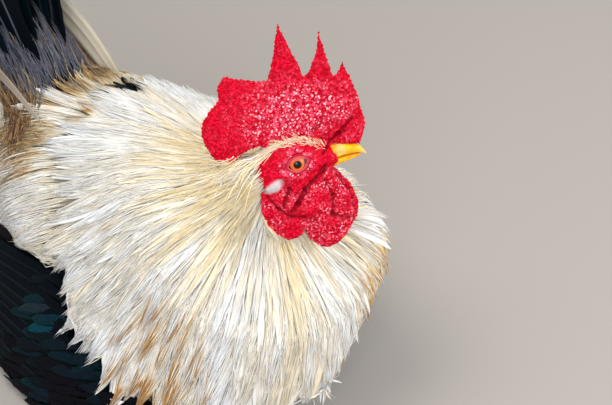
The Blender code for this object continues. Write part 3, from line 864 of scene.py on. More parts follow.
def scattered(shape: Shape, faces: Array, spacing: float | Callable[[Array], Array],
              rng: np.random.Generator) -> Array:
    """Places on some faces of a shape, no two nearer than the spacing.

    Args:
        shape: the shape.
        faces: the numbers of the faces to use.
        spacing: the least distance between places, or a function that gives it at each place.
        rng: the random numbers.

    Returns:
        The places.
    """
    corners = shape.points[shape.faces[faces]]
    if corners.shape[1] == 4:
        corners = np.concatenate([corners[:, [0, 1, 2]], corners[:, [0, 2, 3]]])
    area = np.linalg.norm(np.cross(corners[:, 1] - corners[:, 0], corners[:, 2] - corners[:, 0]), axis=1) / 2
    least = spacing if isinstance(spacing, float) else float(np.min(spacing(corners.mean(1))))
    tries = int(area.sum() / least**2 * 3.5)
    pick = corners[rng.choice(len(corners), tries, p=area / area.sum())]
    u, v = rng.random((2, tries, 1))
    flip = u + v > 1
    u, v = np.where(flip, 1 - u, u), np.where(flip, 1 - v, v)
    places = pick[:, 0] + (pick[:, 1] - pick[:, 0]) * u + (pick[:, 2] - pick[:, 0]) * v
    gaps = np.full(tries, spacing) if isinstance(spacing, float) else spacing(places)
    cell = float(gaps.max())
    kept: list[int] = []
    grid: dict[tuple[int, int, int], list[int]] = {}
    keys = np.floor(places / cell).astype(int)
    steps = [(i, j, k) for i in (-1, 0, 1) for j in (-1, 0, 1) for k in (-1, 0, 1)]
    for n in range(tries):
        a, b, c = keys[n]
        near = [m for i, j, k in steps for m in grid.get((a + i, b + j, c + k), ())]
        if near and (np.linalg.norm(places[near] - places[n], axis=1) < gaps[n]).any():
            continue
        kept.append(n)
        grid.setdefault((a, b, c), []).append(n)
    return places[kept]


# ------------------------------------------------------------
# The body's form


@dataclass
class Body:
    """The outer form of the feathered cock, and which part each of its faces belongs to."""

    voxel: float = 4.0
    swell: float = 0.6  # so that parts that only touch are joined
    depths: dict[str, float] = field(default_factory=lambda: {
        "trunk": 5.0, "saddle": 6.5, "neck": 6.5, "head": 4.0, "wing": 4.5, "wing_flights": 3.0,
        "tail_coverts": 6.0, "thigh": 4.0})

    def __post_init__(self) -> None:
        """Joins the nodes of the body in one form and names the part under each face."""
        names = [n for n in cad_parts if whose(n) in self.depths]
        shapes = [node_shape(name) for name in names]
        self.form = joined([s.swollen(self.swell) for s in shapes]).remeshed(self.voxel).softened(2)
        self.ground = Ground(self.form)
        self.centres = self.form.points[self.form.faces].mean(1)
        self.facing = unit(self.form.normals()[self.form.faces].mean(1))
        self.parts = np.array([whose(names[i]) for i in nearest_shape(shapes, self.centres)])

    def faces(self, *parts: str, where: Callable[[Array, Array], Array] | None = None) -> Array:
        """The numbers of the faces of some parts.

        Args:
            parts: the parts' names.
            where: keeps a face by its centre and its normal.

        Returns:
            The faces' numbers.
        """
        chosen = np.isin(self.parts, parts)
        if where is not None:
            chosen &= where(self.centres, self.facing)
        return np.flatnonzero(chosen)

    def inner(self) -> Shape:
        """The skin's own form, which lies inside the coat by its depth.

        Returns:
            The form, in quads.
        """
        depth = np.zeros(len(self.form.points))
        count = np.zeros(len(self.form.points))
        of_face = np.array([self.depths[p] for p in self.parts])
        for corner in range(4):
            np.add.at(depth, self.form.faces[:, corner], of_face)
            np.add.at(count, self.form.faces[:, corner], 1)
        inside = self.form.swollen(-depth / np.maximum(count, 1)).softened(3)
        inside.points[:, 2] = np.maximum(inside.points[:, 2], FLOOR_CLEAR)
        return inside


# ------------------------------------------------------------
# The head


@dataclass(frozen=True)
class Crease:
    """A furrow in the bare skin of both cheeks, between two places given as (along, above) on the head."""

    start: tuple[float, float]
    end: tuple[float, float]
    width: float
    depth: float

    def depth_at(self, head: Array) -> Array:
        """How deep the furrow is.

        Args:
            head: places on the head, as (along, above, right).

        Returns:
            The depth at each place.
        """
        a, b = np.array(self.start), np.array(self.end)
        run = b - a
        t = np.clip(((head[:, :2] - a) @ run) / (run @ run), 0, 1)
        off = np.linalg.norm(head[:, :2] - (a + t[:, None] * run), axis=1)
        return self.depth * np.exp(-((off / self.width) ** 2))


@dataclass(frozen=True)
class Lids:
    """The opening of the eye and the lids round it, which fold back from the eyeball."""

    eye_radius: float = 7.4
    eye_depth: float = 9.8
    centre: tuple[float, float] = (0.7, -0.5)
    half_length: float = 6.9
    half_height: float = 4.6
    tilt: float = 9.0
    margin: float = 0.8

    def turned(self, along: Array, above: Array) -> tuple[Array, Array]:
        """Turns places beside the eye to run with its opening.

        Args:
            along: how far each place is in front of the eye's middle.
            above: how far it is above the eye's middle.

        Returns:
            How far they are along and across the opening.
        """
        tilt = math.radians(self.tilt)
        x, y = along - self.centre[0], above - self.centre[1]
        return x * math.cos(tilt) + y * math.sin(tilt), y * math.cos(tilt) - x * math.sin(tilt)

    def edge(self, x: Array) -> Array:
        """How high the opening reaches, above or below its middle line."""
        return self.half_height * np.clip(1 - (x / self.half_length) ** 2, 0, 1) ** 0.72

    def distance(self, along: Array, above: Array) -> Array:
        """How far places beside the eye are from the edge of its opening.

        Args:
            along: how far each place is in front of the eye's middle.
            above: how far it is above the eye's middle.

        Returns:
            The distances, below 0 inside the opening.
        """
        x, y = self.turned(along, above)
        h = self.edge(x)
        outside = np.hypot(np.maximum(np.abs(x) - self.half_length, 0), np.maximum(np.abs(y) - h, 0))
        inside = np.minimum(h - np.abs(y), self.half_length - np.abs(x))
        return np.where((np.abs(x) < self.half_length) & (np.abs(y) < h), -inside, outside)

    def ball(self, along: Array, above: Array) -> Array:
        """The height of the eyeball's surface over its centre."""
        return np.sqrt(np.maximum(self.eye_radius**2 - along**2 - above**2, 3.2**2))

    def shaped(self, head: Array) -> Array:
        """Folds the lids in round both eyes.

        Args:
            head: the head's points, as (along, above, right).

        Returns:
            The points with the lids formed.
        """
        out = head.copy()
        for side in (-1, 1):
            height = side * head[:, 2] - self.eye_depth
            near = (height > 1) & (np.hypot(head[:, 0], head[:, 1]) < 15)
            a, b, w = head[near, 0], head[near, 1], height[near]
            d = self.distance(a, b)
            lid = self.ball(a, b) + self.margin
            share = ramp(0.6, 6.0, d)
            raised_to = lid * (1 - share) + w * share
            raised_to += 0.3 * hump(0.7, 0.9, d) - 0.55 * hump(2.0, 0.9, d) + 0.35 * hump(3.1, 1.0, d)
            raised_to -= 0.5 * hump(4.4, 0.9, d) - 0.25 * hump(5.6, 1.2, d)
            raised_to = np.where(d < -0.1, self.ball(a, b) - 1.6, raised_to)
            out[near, 2] = side * (raised_to + self.eye_depth)
        return out

    def rim(self, side: int, out: float, radius: float, count: int = 72, ring: int = 8) -> Shape:
        """One rounded fold of the lids, as a closed ring on the head.

        Args:
            side: 1 for the right eye, -1 for the left.
            out: how far outside the opening's edge it lies.
            radius: its radius.
            count: how many steps it has round the eye.
            ring: how many steps round its own section.

        Returns:
            The ring in head axes.
        """
        angle = np.linspace(0, 2 * math.pi, count, endpoint=False)
        x = self.half_length * np.cos(angle)
        y = np.sign(np.sin(angle)) * self.edge(x)
        x, y = x * (1 + out / self.half_length), y * (1 + out / self.half_height)
        c, s = math.cos(math.radians(self.tilt)), math.sin(math.radians(self.tilt))
        a, b = x * c - y * s + self.centre[0], x * s + y * c + self.centre[1]
        wrinkle = (0.35 + 0.12 * np.sin(angle * 9 + out * 4)) * min(out, 1.0)
        height = self.ball(a, b) + 0.45 + wrinkle
        path = np.stack([a, b, height + self.eye_depth], 1)
        tangent = unit(np.roll(path, -1, 0) - np.roll(path, 1, 0))
        outward = unit(path - np.array([0, 0, self.eye_depth]))
        across = unit(np.cross(tangent, outward))
        turn = np.linspace(0, 2 * math.pi, ring, endpoint=False)
        tube = path[:, None] + radius * (0.8 * np.cos(turn)[None, :, None] * outward[:, None]
                                         + np.sin(turn)[None, :, None] * across[:, None])
        points = tube.reshape(-1, 3)
        i, k = np.meshgrid(np.arange(count), np.arange(ring), indexing="ij")
        j, m = (i + 1) % count, (k + 1) % ring
        faces = np.stack([i * ring + k, i * ring + m, j * ring + m, j * ring + k], -1).reshape(-1, 4)
        points[:, 2] *= side
        return Shape(points, faces if side < 0 else faces[:, ::-1])


@dataclass
class Head:
    """The bare red skin of the face, comb and wattles, with the feathered nape behind it."""

    voxel: float = 0.82
    nodes: tuple[str, ...] = ("head", "comb", "wattle_left", "wattle_right", "cheek_fold_left",
                              "cheek_fold_right", "earlobe_left", "earlobe_right")
    lids: Lids = field(default_factory=Lids)
    folds: tuple[tuple[float, float], ...] = ((0.0, 0.5), (0.95, 0.6), (1.9, 0.55))
    creases: tuple[Crease, ...] = (
        Crease((19, -8), (2, -20), 1.7, 1.9), Crease((2, -20), (-4.6, -29), 1.8, 2.0),
        Crease((-4.6, -29), (-9, -33), 1.8, 1.6), Crease((-8, -17), (-14, -28), 1.6, 1.7),
        Crease((-24, -17), (-18, -29), 1.2, 1.2), Crease((-18, -29), (-11, -37), 1.3, 1.4),
        Crease((-11, -37), (-2, -40), 1.3, 1.3), Crease((-2, -40), (4, -44), 1.2, 1.0),
        Crease((15, 16), (23, 20), 1.0, 1.1), Crease((19, 1.6), (31, 10), 1.2, 1.6),
        Crease((31, 10), (43, 19), 1.2, 1.6), Crease((25, 7), (36, 11), 1.0, 1.1),
        Crease((19, 9), (30, 15), 0.9, 0.8), Crease((10, 13), (22, 24), 0.9, 0.7),
        Crease((26, 16), (38, 27), 0.9, 0.7), Crease((16, -16), (20, -30), 1.6, 0.9),
        Crease((20, -30), (17, -44), 1.6, 1.1), Crease((17, -44), (28, -50), 1.5, 1.2))
    nape: tuple[tuple[float, float], ...] = (
        (-60, -21), (-34, -25), (-23, -30), (-12, -30), (-2.5, -27), (4, -23), (8.7, -17), (12.5, -6),
        (14, 8))

    def behind_face(self, head: Array) -> Array:
        """How far behind the edge of the bare face each place is, in millimetres along the head."""
        above, along = np.array(self.nape).T
        return np.interp(head[:, 1], above, along) - head[:, 0]

    def __post_init__(self) -> None:
        """Makes the head's skin, with its lids, folds and grains."""
        shapes = [node_shape(name) for name in self.nodes]
        webs = [ellipsoid(HEAD.to_world, (-2.0, -24.0, side * 10.0), (13.0, 19.0, 3.6)) for side in (1, -1)]
        skin = joined([s.swollen(0.5) for s in shapes] + webs).remeshed(self.voxel).softened(3)
        part = nearest_shape(shapes, skin.points)
        head = HEAD.to_head(skin.points)
        on = {name: np.isin(part, [i for i, n in enumerate(self.nodes) if n.startswith(name)]).astype(float)
              for name in ("comb", "wattle", "cheek_fold", "earlobe", "head")}
        down = ramp(0.0, 3.0, self.behind_face(head)) * on["head"]
        along, above = head[:, 0] + 17.4, head[:, 1] + 12.0
        lobe = ramp(1.25, 0.85, np.hypot(along / 7.4, (above - 0.25 * along) / 3.6))
        lobe *= ramp(9.0, 12.0, np.abs(head[:, 2]))
        crease = sum((c.depth_at(head) for c in self.creases), np.zeros(len(head)))
        near_eye = ramp(8.5, 4.0, self.lids.distance(head[:, 0], head[:, 1]))
        near_eye *= ramp(8, 11, np.abs(head[:, 2]))
        bare = (1 - down) * (1 - lobe) * (1 - 0.75 * near_eye)
        fleshy = on["comb"] + on["wattle"] + 0.7 * on["cheek_fold"]
        grains = pebbles(skin.points, 2.1)
        small = pebbles(skin.points + 50, 1.7)
        grain = np.where(fleshy > 0.5, grains, small)
        coarse = 0.75 * fleshy + 0.3 * on["comb"] + 0.26 * (1 - fleshy)
        height = bare * coarse * (grain - 0.4) - 0.55 * on["comb"]
        height += 0.55 * fleshy * mottle(skin.points, 9.0, 1)
        height += 0.3 * (1 - fleshy) * bare * mottle(skin.points, 5.0, 2)
        height -= crease + lobe * (0.9 + 0.25 * mottle(skin.points, 1.8, 5))
        skin = skin.swollen(height)
        points = self.lids.shaped(HEAD.to_head(skin.points))
        self.skin = Shape(HEAD.to_world(points), skin.faces)
        rims = joined([self.lids.rim(side, *fold) for side in (1, -1) for fold in self.folds])
        self.rims = Shape(HEAD.to_world(rims.points), rims.faces)
        # The pale mark sets where the skin turns lighter pink and carries painted highlight specks: most on
        # the middle of the comb, mottled on the wattles and cheek folds, and round the eyes.
        pale = np.exp(-(((head[:, 0] - 8) / 34) ** 2 + ((head[:, 1] - 30) / 20) ** 2)) * on["comb"]
        pale = pale + 0.5 * (on["wattle"] + on["cheek_fold"]) * (0.6 + 0.6 * mottle(skin.points, 12.0, 3))
        pale = pale + 0.8 * near_eye * (1 - on["comb"])
        self.marks = {
            "grain": grain * bare, "pale": np.clip(pale + 0.25 * mottle(skin.points, 7.0, 4), 0, 1),
            "crease": np.clip(crease, 0, 2), "lobe": lobe * ramp(-9.0, -14.5, head[:, 0]), "down": down,
            "rim": np.zeros(len(head))}
        self.ground = Ground(self.skin)


@dataclass(frozen=True)
class SkinFinish:
    """Living skin: crimson grains on the comb and face, with painted shade in the furrows between them and
    in the creases, painted highlight specks on them, chalky white lobes, and pale down under the coat.
    """

    red: str = "#F20A36"
    # deep: the painted shade in the furrows between the grains; shade: the painted shade in the creases.
    deep: str = "#B0001A"
    shade: str = "#7C0010"
    blush: str = "#FB6486"
    # pale: the colour of the painted highlight specks on the grains.
    pale: str = "#FFD6DC"
    lobe: str = "#C2B3B3"
    rim: str = "#D9606A"
    cream: str = "#CFC5AC"
    black: str = "#0B0A0E"

    def made(self) -> bpy.types.Material:
        """The material, which follows the marks kept on the skin.

        Returns:
            The material.
        """
        r = Recipe("living_skin")
        coords = r.add("TexCoord", {}, "Object")
        fine = r.add("TexNoise", {"Vector": coords, "Scale": 900.0, "Detail": 2.0})
        speck = r.add("TexNoise", {"Vector": coords, "Scale": 420.0, "Detail": 1.0})
        glint_noise = r.add("TexNoise", {"Vector": coords, "Scale": 640.0, "Detail": 3.0, "Roughness": 0.65})
        cells = r.add("TexVoronoi", {"Vector": coords, "Scale": 560.0, "Randomness": 0.9}, "Distance")
        grain, pale, crease, *covers = (
            r.add("Attribute", {}, "Fac", attribute_name=mark)
            for mark in ("grain", "pale", "crease", "lobe", "rim", "down", "dark"))
        bead = r.share(cells, 0.62, 0.1, within=r.share(grain, -0.15, 0.35))
        # Painted shade: deep red in the furrows between the grains, full red on their tops.
        colour = r.lay(self.deep, self.red, bead, 0.0, 0.45)
        colour = r.lay(colour, self.blush, speck, 0.42, 0.65, 0.65, pale)
        # Painted highlights: pale pink specks from a fine noise and the grains' tops, where the pale mark is
        # high.
        glints = r.woven(glint_noise, bead, 0.75)
        colour = r.lay(colour, self.pale, glints, 0.48, 0.58, within=r.share(pale, 0.1, 0.85, 0.95))
        # Painted shade darkens the creases.
        colour = r.lay(colour, self.shade, crease, 0.1, 1.4, 0.85)
        for share, cover in zip(covers, (self.lobe, self.rim, self.cream, self.black)):
            colour = r.mixed(colour, cover, share)
        return r.done(colour, r.woven(bead, fine, 0.75), 0.7, 0.5, Roughness=0.45, Specular_IOR_Level=0.07,
                      Subsurface_Weight=0.12, Subsurface_Scale=0.003, Subsurface_Radius=(1.0, 0.25, 0.15))


@dataclass
class Skin:
    """The cock's one skin, from the comb down to the thighs."""

    head: Head
    body: Body

    def made(self) -> None:
        """Builds the skin."""
        inner = self.body.inner()
        shapes = [self.head.skin, self.head.rims, inner]
        whole = joined(shapes)
        count = [len(s.points) for s in shapes]
        dark = np.zeros(len(inner.points))
        found = self.body.parts[[self.body.ground.tree.find_nearest(Vector(p))[2] for p in inner.points]]
        dark[np.isin(found, ("trunk", "wing", "wing_flights", "tail_coverts", "thigh"))] = 1
        marks = {key: np.concatenate([value, np.zeros(count[1]), np.zeros(count[2])])
                 for key, value in self.head.marks.items()}
        each = count[1] // (2 * len(self.head.folds))
        marks["rim"][count[0] : count[0] + count[1]] = np.tile(np.repeat((1.0, 0.45, 0.15), each), 2)
        marks["down"][-count[2] :] = 1
        marks["dark"] = np.concatenate([np.zeros(count[0] + count[1]), dark])
        placed(whole.mesh("skin", marks), SkinFinish().made(),
               ["trunk", *self.head.nodes, "thigh_left", "thigh_right"])


@dataclass(frozen=True)
class Eyes:
    """Two glassy eyeballs with an orange iris and a black pupil."""

    lids: Lids
    pupil: float = 2.7
    iris: float = 5.0
    cornea: float = 0.55
    orange: str = "#F04A08"
    amber: str = "#FF8A1E"
    ring: str = "#8E2A06"
    black: str = "#050608"
    edge: str = "#3A1A14"
    veil: str = "#7E4644"

    def made(self) -> None:
        """Builds both eyeballs as one piece."""
        shell = bmesh.new()
        bmesh.ops.create_uvsphere(shell, u_segments=72, v_segments=48, radius=self.lids.eye_radius)
        for vert in shell.verts:
            off = math.hypot(vert.co.x, vert.co.y)
            if vert.co.z > 0 and off < self.iris:
                vert.co.z += self.cornea * (1 - (off / self.iris) ** 2) ** 2
        points = np.array([v.co for v in shell.verts])
        bmesh.ops.triangulate(shell, faces=shell.faces)
        shell.verts.index_update()
        faces = [[v.index for v in f.verts] for f in shell.faces]
        shell.free()
        # The cutting gives the triangles in another order each time, so they are sorted.
        faces = np.array(sorted(f[f.index(min(f)):] + f[:f.index(min(f))] for f in faces))
        balls = []
        for side in (1, -1):
            moved = points * (1, 1, side) + np.array([0, 0, side * self.lids.eye_depth])
            balls.append(Shape(HEAD.to_world(moved), faces if side > 0 else faces[:, ::-1]))
        both = joined(balls)
        off = np.where(points[:, 2] > 0, np.hypot(points[:, 0] - 0.3, points[:, 1]), 9.0)
        mesh = both.mesh("eyes", {"off": np.tile(off, 2), "fore": np.tile(points[:, 0], 2)})
        placed(mesh, self.finish(), ["eye_left", "eye_right"])

    def finish(self) -> bpy.types.Material:
        """Wet eyeball: rings of colour under a clear coat.

        Returns:
            The material.
        """
        r = Recipe("wet_eye")
        coords = r.add("TexCoord", {}, "Object")
        flecks = r.add("TexNoise", {"Vector": coords, "Scale": 900.0, "Detail": 2.0})
        off, fore = (r.add("Attribute", {}, "Fac", attribute_name=mark) for mark in ("off", "fore"))
        colour = r.mixed(self.orange, self.amber, flecks)
        colour = r.lay(colour, self.ring, off, self.pupil + 1.2, self.pupil + 0.1, 0.5)
        colour = r.lay(colour, self.black, off, self.pupil + 0.15, self.pupil - 0.15)
        colour = r.lay(colour, self.edge, off, self.iris - 0.5, self.iris + 0.2)
        colour = r.lay(colour, self.veil, fore, 4.2, 5.0, 0.9)
        return r.done(colour, Roughness=0.3, Specular_IOR_Level=0.2, Coat_Weight=0.5, Coat_Roughness=0.03,
                      Coat_IOR=1.38)


@dataclass(frozen=True)
class Bill:
    """The two halves of the bill: yellow horn, paler and more worn towards the tip and in a patch behind it.
    """

    voxel: float = 0.5
    yellow: str = "#FDC41C"
    orange: str = "#F19C10"
    horn: str = "#E9D9A6"
    nostril: tuple[float, float] = (29.5, -2.2)
    patch: float = 31.0

    def made(self) -> None:
        """Builds the bill."""
        halves = []
        for name in ("beak_upper", "beak_lower"):
            half = node_shape(name).remeshed(self.voxel).softened(4)
            head = HEAD.to_head(half.points)
            ahead, above = (head[:, :2] - self.nostril).T
            slot = np.exp(-((ahead / 2.2) ** 2 + (above / 0.8) ** 2))
            hood = np.exp(-((ahead / 3.4) ** 2 + ((above - 1.6) / 1.2) ** 2))
            change = 0.12 * mottle(half.points, 2.2, 6)
            if name == "beak_upper":
                change += (0.5 * hood - 0.8 * slot) * ramp(1.2, 2.4, np.abs(head[:, 2]))
            halves.append(half.swollen(change))
        bill = joined(halves)
        head = HEAD.to_head(bill.points)
        mesh = bill.mesh("bill", {"along": head[:, 0], "above": head[:, 1]})
        placed(mesh, self.finish(), ["beak_upper", "beak_lower"])

    def finish(self) -> bpy.types.Material:
        """Grown horn: waxy, paler at the tip and in a patch behind it.

        Returns:
            The material.
        """
        r = Recipe("grown_horn")
        coords = r.add("TexCoord", {}, "Object")
        cloud = r.add("TexNoise", {"Vector": coords, "Scale": 160.0, "Detail": 4.0})
        along, above = (r.add("Attribute", {}, "Fac", attribute_name=mark) for mark in ("along", "above"))
        colour = r.lay(self.orange, self.yellow, cloud, 0.35, 0.7)
        colour = r.lay(colour, self.horn, along, 42.0, 49.0, 0.5)
        past = r.add("Math", {0: along, 1: self.patch}, operation="SUBTRACT")
        aside = r.add("Math", {0: past}, operation="ABSOLUTE")
        colour = r.lay(colour, self.horn, aside, 4.5, 1.5, 0.35, r.share(above, -5.0, -1.5))
        return r.done(colour, cloud, Roughness=0.34, Specular_IOR_Level=0.3, Subsurface_Weight=0.05,
                      Subsurface_Scale=0.001)


# ------------------------------------------------------------
# Legs and claws


@dataclass(frozen=True)
class Legs:
    """Both shanks and feet in horny yellow plates, with claws and spurs of darker horn."""

    voxel: float = 1.1
    plate: float = 4.2
    yellow: str = "#D8A531"
    worn: str = "#C9B07A"
    edge: str = "#9A6A1C"
    claw: str = "#6E6254"
    claw_pale: str = "#B5A78D"

    def made(self) -> None:
        """Builds the legs as one piece, and the claws and spurs as another."""
        names = [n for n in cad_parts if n.startswith(("shank", "foot"))]
        form = joined([node_shape(n).swollen(0.35) for n in names]).remeshed(self.voxel).softened(3)
        p = form.points
        run = p[:, 1] + 0.35 * np.abs(np.abs(p[:, 0]) - 52)
        wave = np.mod(run / self.plate + 0.12 * mottle(p, 9.0, 8), 1.0)
        plates = ramp(0.0, 0.18, wave) * ramp(1.0, 0.82, wave)
        facing = form.normals()[:, 2]
        pads = pebbles(p, 2.2)
        top = ramp(-0.2, 0.3, facing)
        height = top * 0.45 * (plates - 0.6) + (1 - top) * 0.4 * (pads - 0.5)
        form = form.swollen(height)
        form.points[:, 2] = np.maximum(form.points[:, 2], 0.0)
        seam = np.where(top > 0.5, 1 - plates, 1 - pads)
        placed(form.mesh("legs", {"seam": seam}), self.scale_finish(), names)
        tips = [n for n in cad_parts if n.startswith(("claw", "spur"))]
        horn = joined([node_shape(n).remeshed(0.6).softened(3) for n in tips])
        horn.points[:, 2] = np.maximum(horn.points[:, 2], 0.0)
        placed(horn.mesh("claws"), self.claw_finish(), tips)

    def scale_finish(self) -> bpy.types.Material:
        """Leg scales: dull yellow plates with brown dirt in their seams.

        Returns:
            The material.
        """
        r = Recipe("leg_plates")
        coords = r.add("TexCoord", {}, "Object")
        cloud = r.add("TexNoise", {"Vector": coords, "Scale": 120.0, "Detail": 4.0})
        seam = r.add("Attribute", {}, "Fac", attribute_name="seam")
        colour = r.lay(self.yellow, self.worn, cloud, 0.3, 0.75, 0.5)
        colour = r.lay(colour, self.edge, seam, 0.3, 1.0, 0.85)
        return r.done(colour, cloud, 0.2, 0.3, Roughness=0.5, Specular_IOR_Level=0.4)

    def claw_finish(self) -> bpy.types.Material:
        """Claw horn: grey-brown, worn pale in streaks.

        Returns:
            The material.
        """
        r = Recipe("claw_horn")
        coords = r.add("TexCoord", {}, "Object")
        cloud = r.add("TexNoise", {"Vector": coords, "Scale": 260.0, "Detail": 4.0})
        colour = r.lay(self.claw, self.claw_pale, cloud, 0.35, 0.7)
        return r.done(colour, cloud, Roughness=0.35, Specular_IOR_Level=0.5)


# ------------------------------------------------------------
# The coat


@dataclass(frozen=True)
class Layer:
    """One growth of feathers. A pair holds the least and the most that a feather may have.

    Its values are the cut, the spacing of the roots, the length, half the width, the thickness, how deep
    the root sinks, how high the tip lifts, how far a feather wanders from the flow and rolls round its
    midrib, in radians, how ragged its edges are, how many points its midrib has, how far it reaches beyond
    the part that it grows on, and how strongly it gathers in locks.
    """

    cut: Cuts
    spacing: float
    length: tuple[float, float]
    half_width: tuple[float, float]
    thickness: float
    sink: float
    lift: tuple[float, float]
    wander: float = 0.08
    roll: float = 0.25
    ragged: float = 0.15
    steps: int = 9
    beyond: tuple[float, float] = (2.0, 9.0)
    locks: float = 0.0


Marker = Callable[[Array, np.random.Generator], dict[str, Array]]
COLLAR = HEAD.to_world(np.array([[-12.0, -4.0, 0.0]]))[0]


@dataclass(frozen=True)
class Locks:
    """The pointed locks that long feathers gather in as they run out from the collar.

    Locks stand a spacing apart at a reach from the collar. The middle of each is longer by its point and
    higher by its swell. A feather that would leave the body by a leap or more stays where it grew.
    """

    spacing: float = 13.0
    reach: float = 150.0
    point: float = 16.0
    swell: float = 1.0
    leap: float = 9.0
    most_back: float = 1.0  # how far a moved feather is brought back to the body
    back: tuple[float, float] = (0.6, 0.9)  # the directions between which they become looser

    def centres(self) -> Array:
        """The middles of all the locks.

        Returns:
            Directions from the collar, spread evenly and a little shuffled.
        """
        count = int(4 * math.pi * self.reach**2 / (0.87 * self.spacing**2))
        number = np.arange(count) + 0.5
        polar, turn = np.arccos(1 - 2 * number / count), math.pi * (1 + 5**0.5) * number
        even = np.stack([np.cos(turn) * np.sin(polar), np.sin(turn) * np.sin(polar), np.cos(polar)], 1)
        return unit(even + np.random.default_rng(7).normal(0, 0.25 * self.spacing / self.reach, even.shape))

    def nearest(self, tips: Array) -> tuple[Array, Array]:
        """Finds the lock that each feather belongs to. Locks are looser along the back.

        Args:
            tips: the feathers' tips.

        Returns:
            The directions of their locks, and how near to the middle each tip is, up to 1.
        """
        centres = self.centres()
        own = unit(tips - COLLAR)
        lock = centres[(own @ centres.T).argmax(1)]
        gap = np.linalg.norm(own - lock, axis=1) * self.reach
        loose = 1 - 0.5 * ramp(*self.back, own[:, 1])
        return lock, ramp(0.62 * self.spacing, 0.1 * self.spacing, gap) * loose

    def gathered(self, lines: Array, ground: Ground, pull: float) -> Array:
        """Draws feathers towards the middles of their locks, more and more towards their tips.

        Args:
            lines: their midribs.
            ground: the body's surface.
            pull: how far the tips go, as a share of the way.

        Returns:
            The gathered midribs.
        """
        lock, near = self.nearest(lines[:, -1])
        share = np.linspace(0, 1, lines.shape[1])[None, :, None] ** 1.4
        out = lines - COLLAR
        far = np.linalg.norm(out, axis=2, keepdims=True)
        own = out / far
        pulled = pull * (1 - 0.4 * ramp(*self.back, own[:, -1:, 1:2]))
        moved = COLLAR + far * unit(own + (lock[:, None, :] - own) * pulled * share)
        snapped, facing = ground.snap(moved.reshape(-1, 3))
        back = (snapped - moved.reshape(-1, 3)).reshape(moved.shape)
        gap = np.linalg.norm(back, axis=2, keepdims=True)
        back *= np.minimum(1, self.most_back / np.maximum(gap, 1e-6))
        locked = moved + back + facing.reshape(moved.shape) * near[:, None, None] * share * self.swell
        return np.where(gap.max(1, keepdims=True) < self.leap, locked, lines)


LOCKS = Locks()


def laid(body: Body, faces: Array, layer: Layer, flow: Flow, marker: Marker, seed: int,
         size: Callable[[Array], Array] | None = None, ground: Ground | None = None,
         home: Ground | None = None) -> Batch:
    """One layer of feathers over some faces of the body.

    Args:
        body: the body.
        faces: the faces that feathers grow from.
        layer: their sizes.
        flow: the way the coat lies.
        marker: gives the marks of feathers from their roots.
        seed: the seed of the random numbers.
        size: the share of its length and width that a feather has at each root.
        ground: the surface, where it isn't the body's.
        home: the part that the feathers end with: they reach only a little beyond it.

    Returns:
        The feathers.
    """
    rng = np.random.default_rng(seed)
    ground = ground or body.ground
    spacing = layer.spacing if size is None else lambda at: layer.spacing * size(at)
    roots = scattered(ground.shape, faces, spacing, rng)
    share = np.ones(len(roots)) if size is None else size(roots)
    length = rng.uniform(*layer.length, len(roots)) * share
    stray = rng.normal(0, layer.wander, len(roots))
    lines, ups = grown(ground, roots, flow, length, stray, layer.steps)
    if home is not None:
        away = home.depth(lines.reshape(-1, 3)).reshape(lines.shape[:2]) > layer.sink
        beyond = rng.uniform(*layer.beyond, len(roots))
        if layer.locks:
            lock, near = LOCKS.nearest(lines[:, -1])
            beyond += LOCKS.point * layer.locks * (near - 0.3 + 0.4 * mottle(lock * LOCKS.reach, 9.0, 41))
        run = np.where(away.any(1), away.argmax(1) / (layer.steps - 1), 1.0) * length + beyond
        kept = (run > 0.4 * length) & (run > 16 * share)
        roots, share, stray = roots[kept], share[kept], stray[kept]
        length = np.minimum(length, run)[kept]
        lines, ups = grown(ground, roots, flow, length, stray, layer.steps)
    if layer.locks:
        lines = LOCKS.gathered(lines, ground, layer.locks)
    lines = raised(lines, ups, -layer.sink, rng.uniform(*layer.lift, len(roots)))
    lines = np.clip(lines, BOX_LOW - STRAY, BOX_HIGH + STRAY)
    half_width = rng.uniform(*layer.half_width, len(roots)) * share
    marks = {"tone": rng.random(len(roots)), **marker(lines[:, 0], rng)}
    return Batch(layer.cut.value, lines, ups, half_width, np.full(len(roots), layer.thickness), marks,
                 rng.normal(0, layer.roll, len(roots)), layer.ragged, 0.06, seed)


def from_head(at: Array, normal: Array) -> Array:
    """The cape's feathers radiate from the nape."""
    return unit(at - COLLAR) + np.array([0, 0.05, -0.12])


def over_saddle(at: Array, normal: Array) -> Array:
    """The saddle's feathers go on from the cape's, run back from the spine and fall over the flanks.

    Args:
        at: places on the body.
        normal: the normals there.

    Returns:
        The way that feathers lie at each place.
    """
    fall = np.abs(at[:, 0]) / 140 + 1.2 * ramp(135, 185, at[:, 1])
    out = np.stack([at[:, 0] / 120, np.ones(len(at)), -fall], 1)
    return unit(at - COLLAR) * ramp(130, 40, at[:, 1])[:, None] + 0.6 * out


def over_body(at: Array, normal: Array) -> Array:
    """The body's feathers fall down the breast and run back along the flanks and belly.

    Args:
        at: places on the body.
        normal: the normals there.

    Returns:
        The way that feathers lie at each place.
    """
    front = ramp(-60, -130, at[:, 1])
    out = np.zeros_like(at)
    out[:, 0] = 0.25 * np.sign(at[:, 0]) * front
    out[:, 1] = 1.0 - 0.75 * front
    out[:, 2] = -0.28 - 0.75 * front + 0.6 * ramp(90, 160, at[:, 1])
    return out


def along_wing(at: Array, normal: Array) -> Array:
    """The wing's feathers run back towards its tip: high for the folded wing, low for the one let down."""
    left = at[:, :1] > 0
    return unit(np.where(left, (32.0, 210.0, 118.0), (-98.0, 190.0, -18.0)) - at)


def up_tail(at: Array, normal: Array) -> Array:
    """The tail's coverts rise with the tail."""
    return np.tile([0.0, math.cos(math.radians(58)), math.sin(math.radians(58))], (len(at), 1))


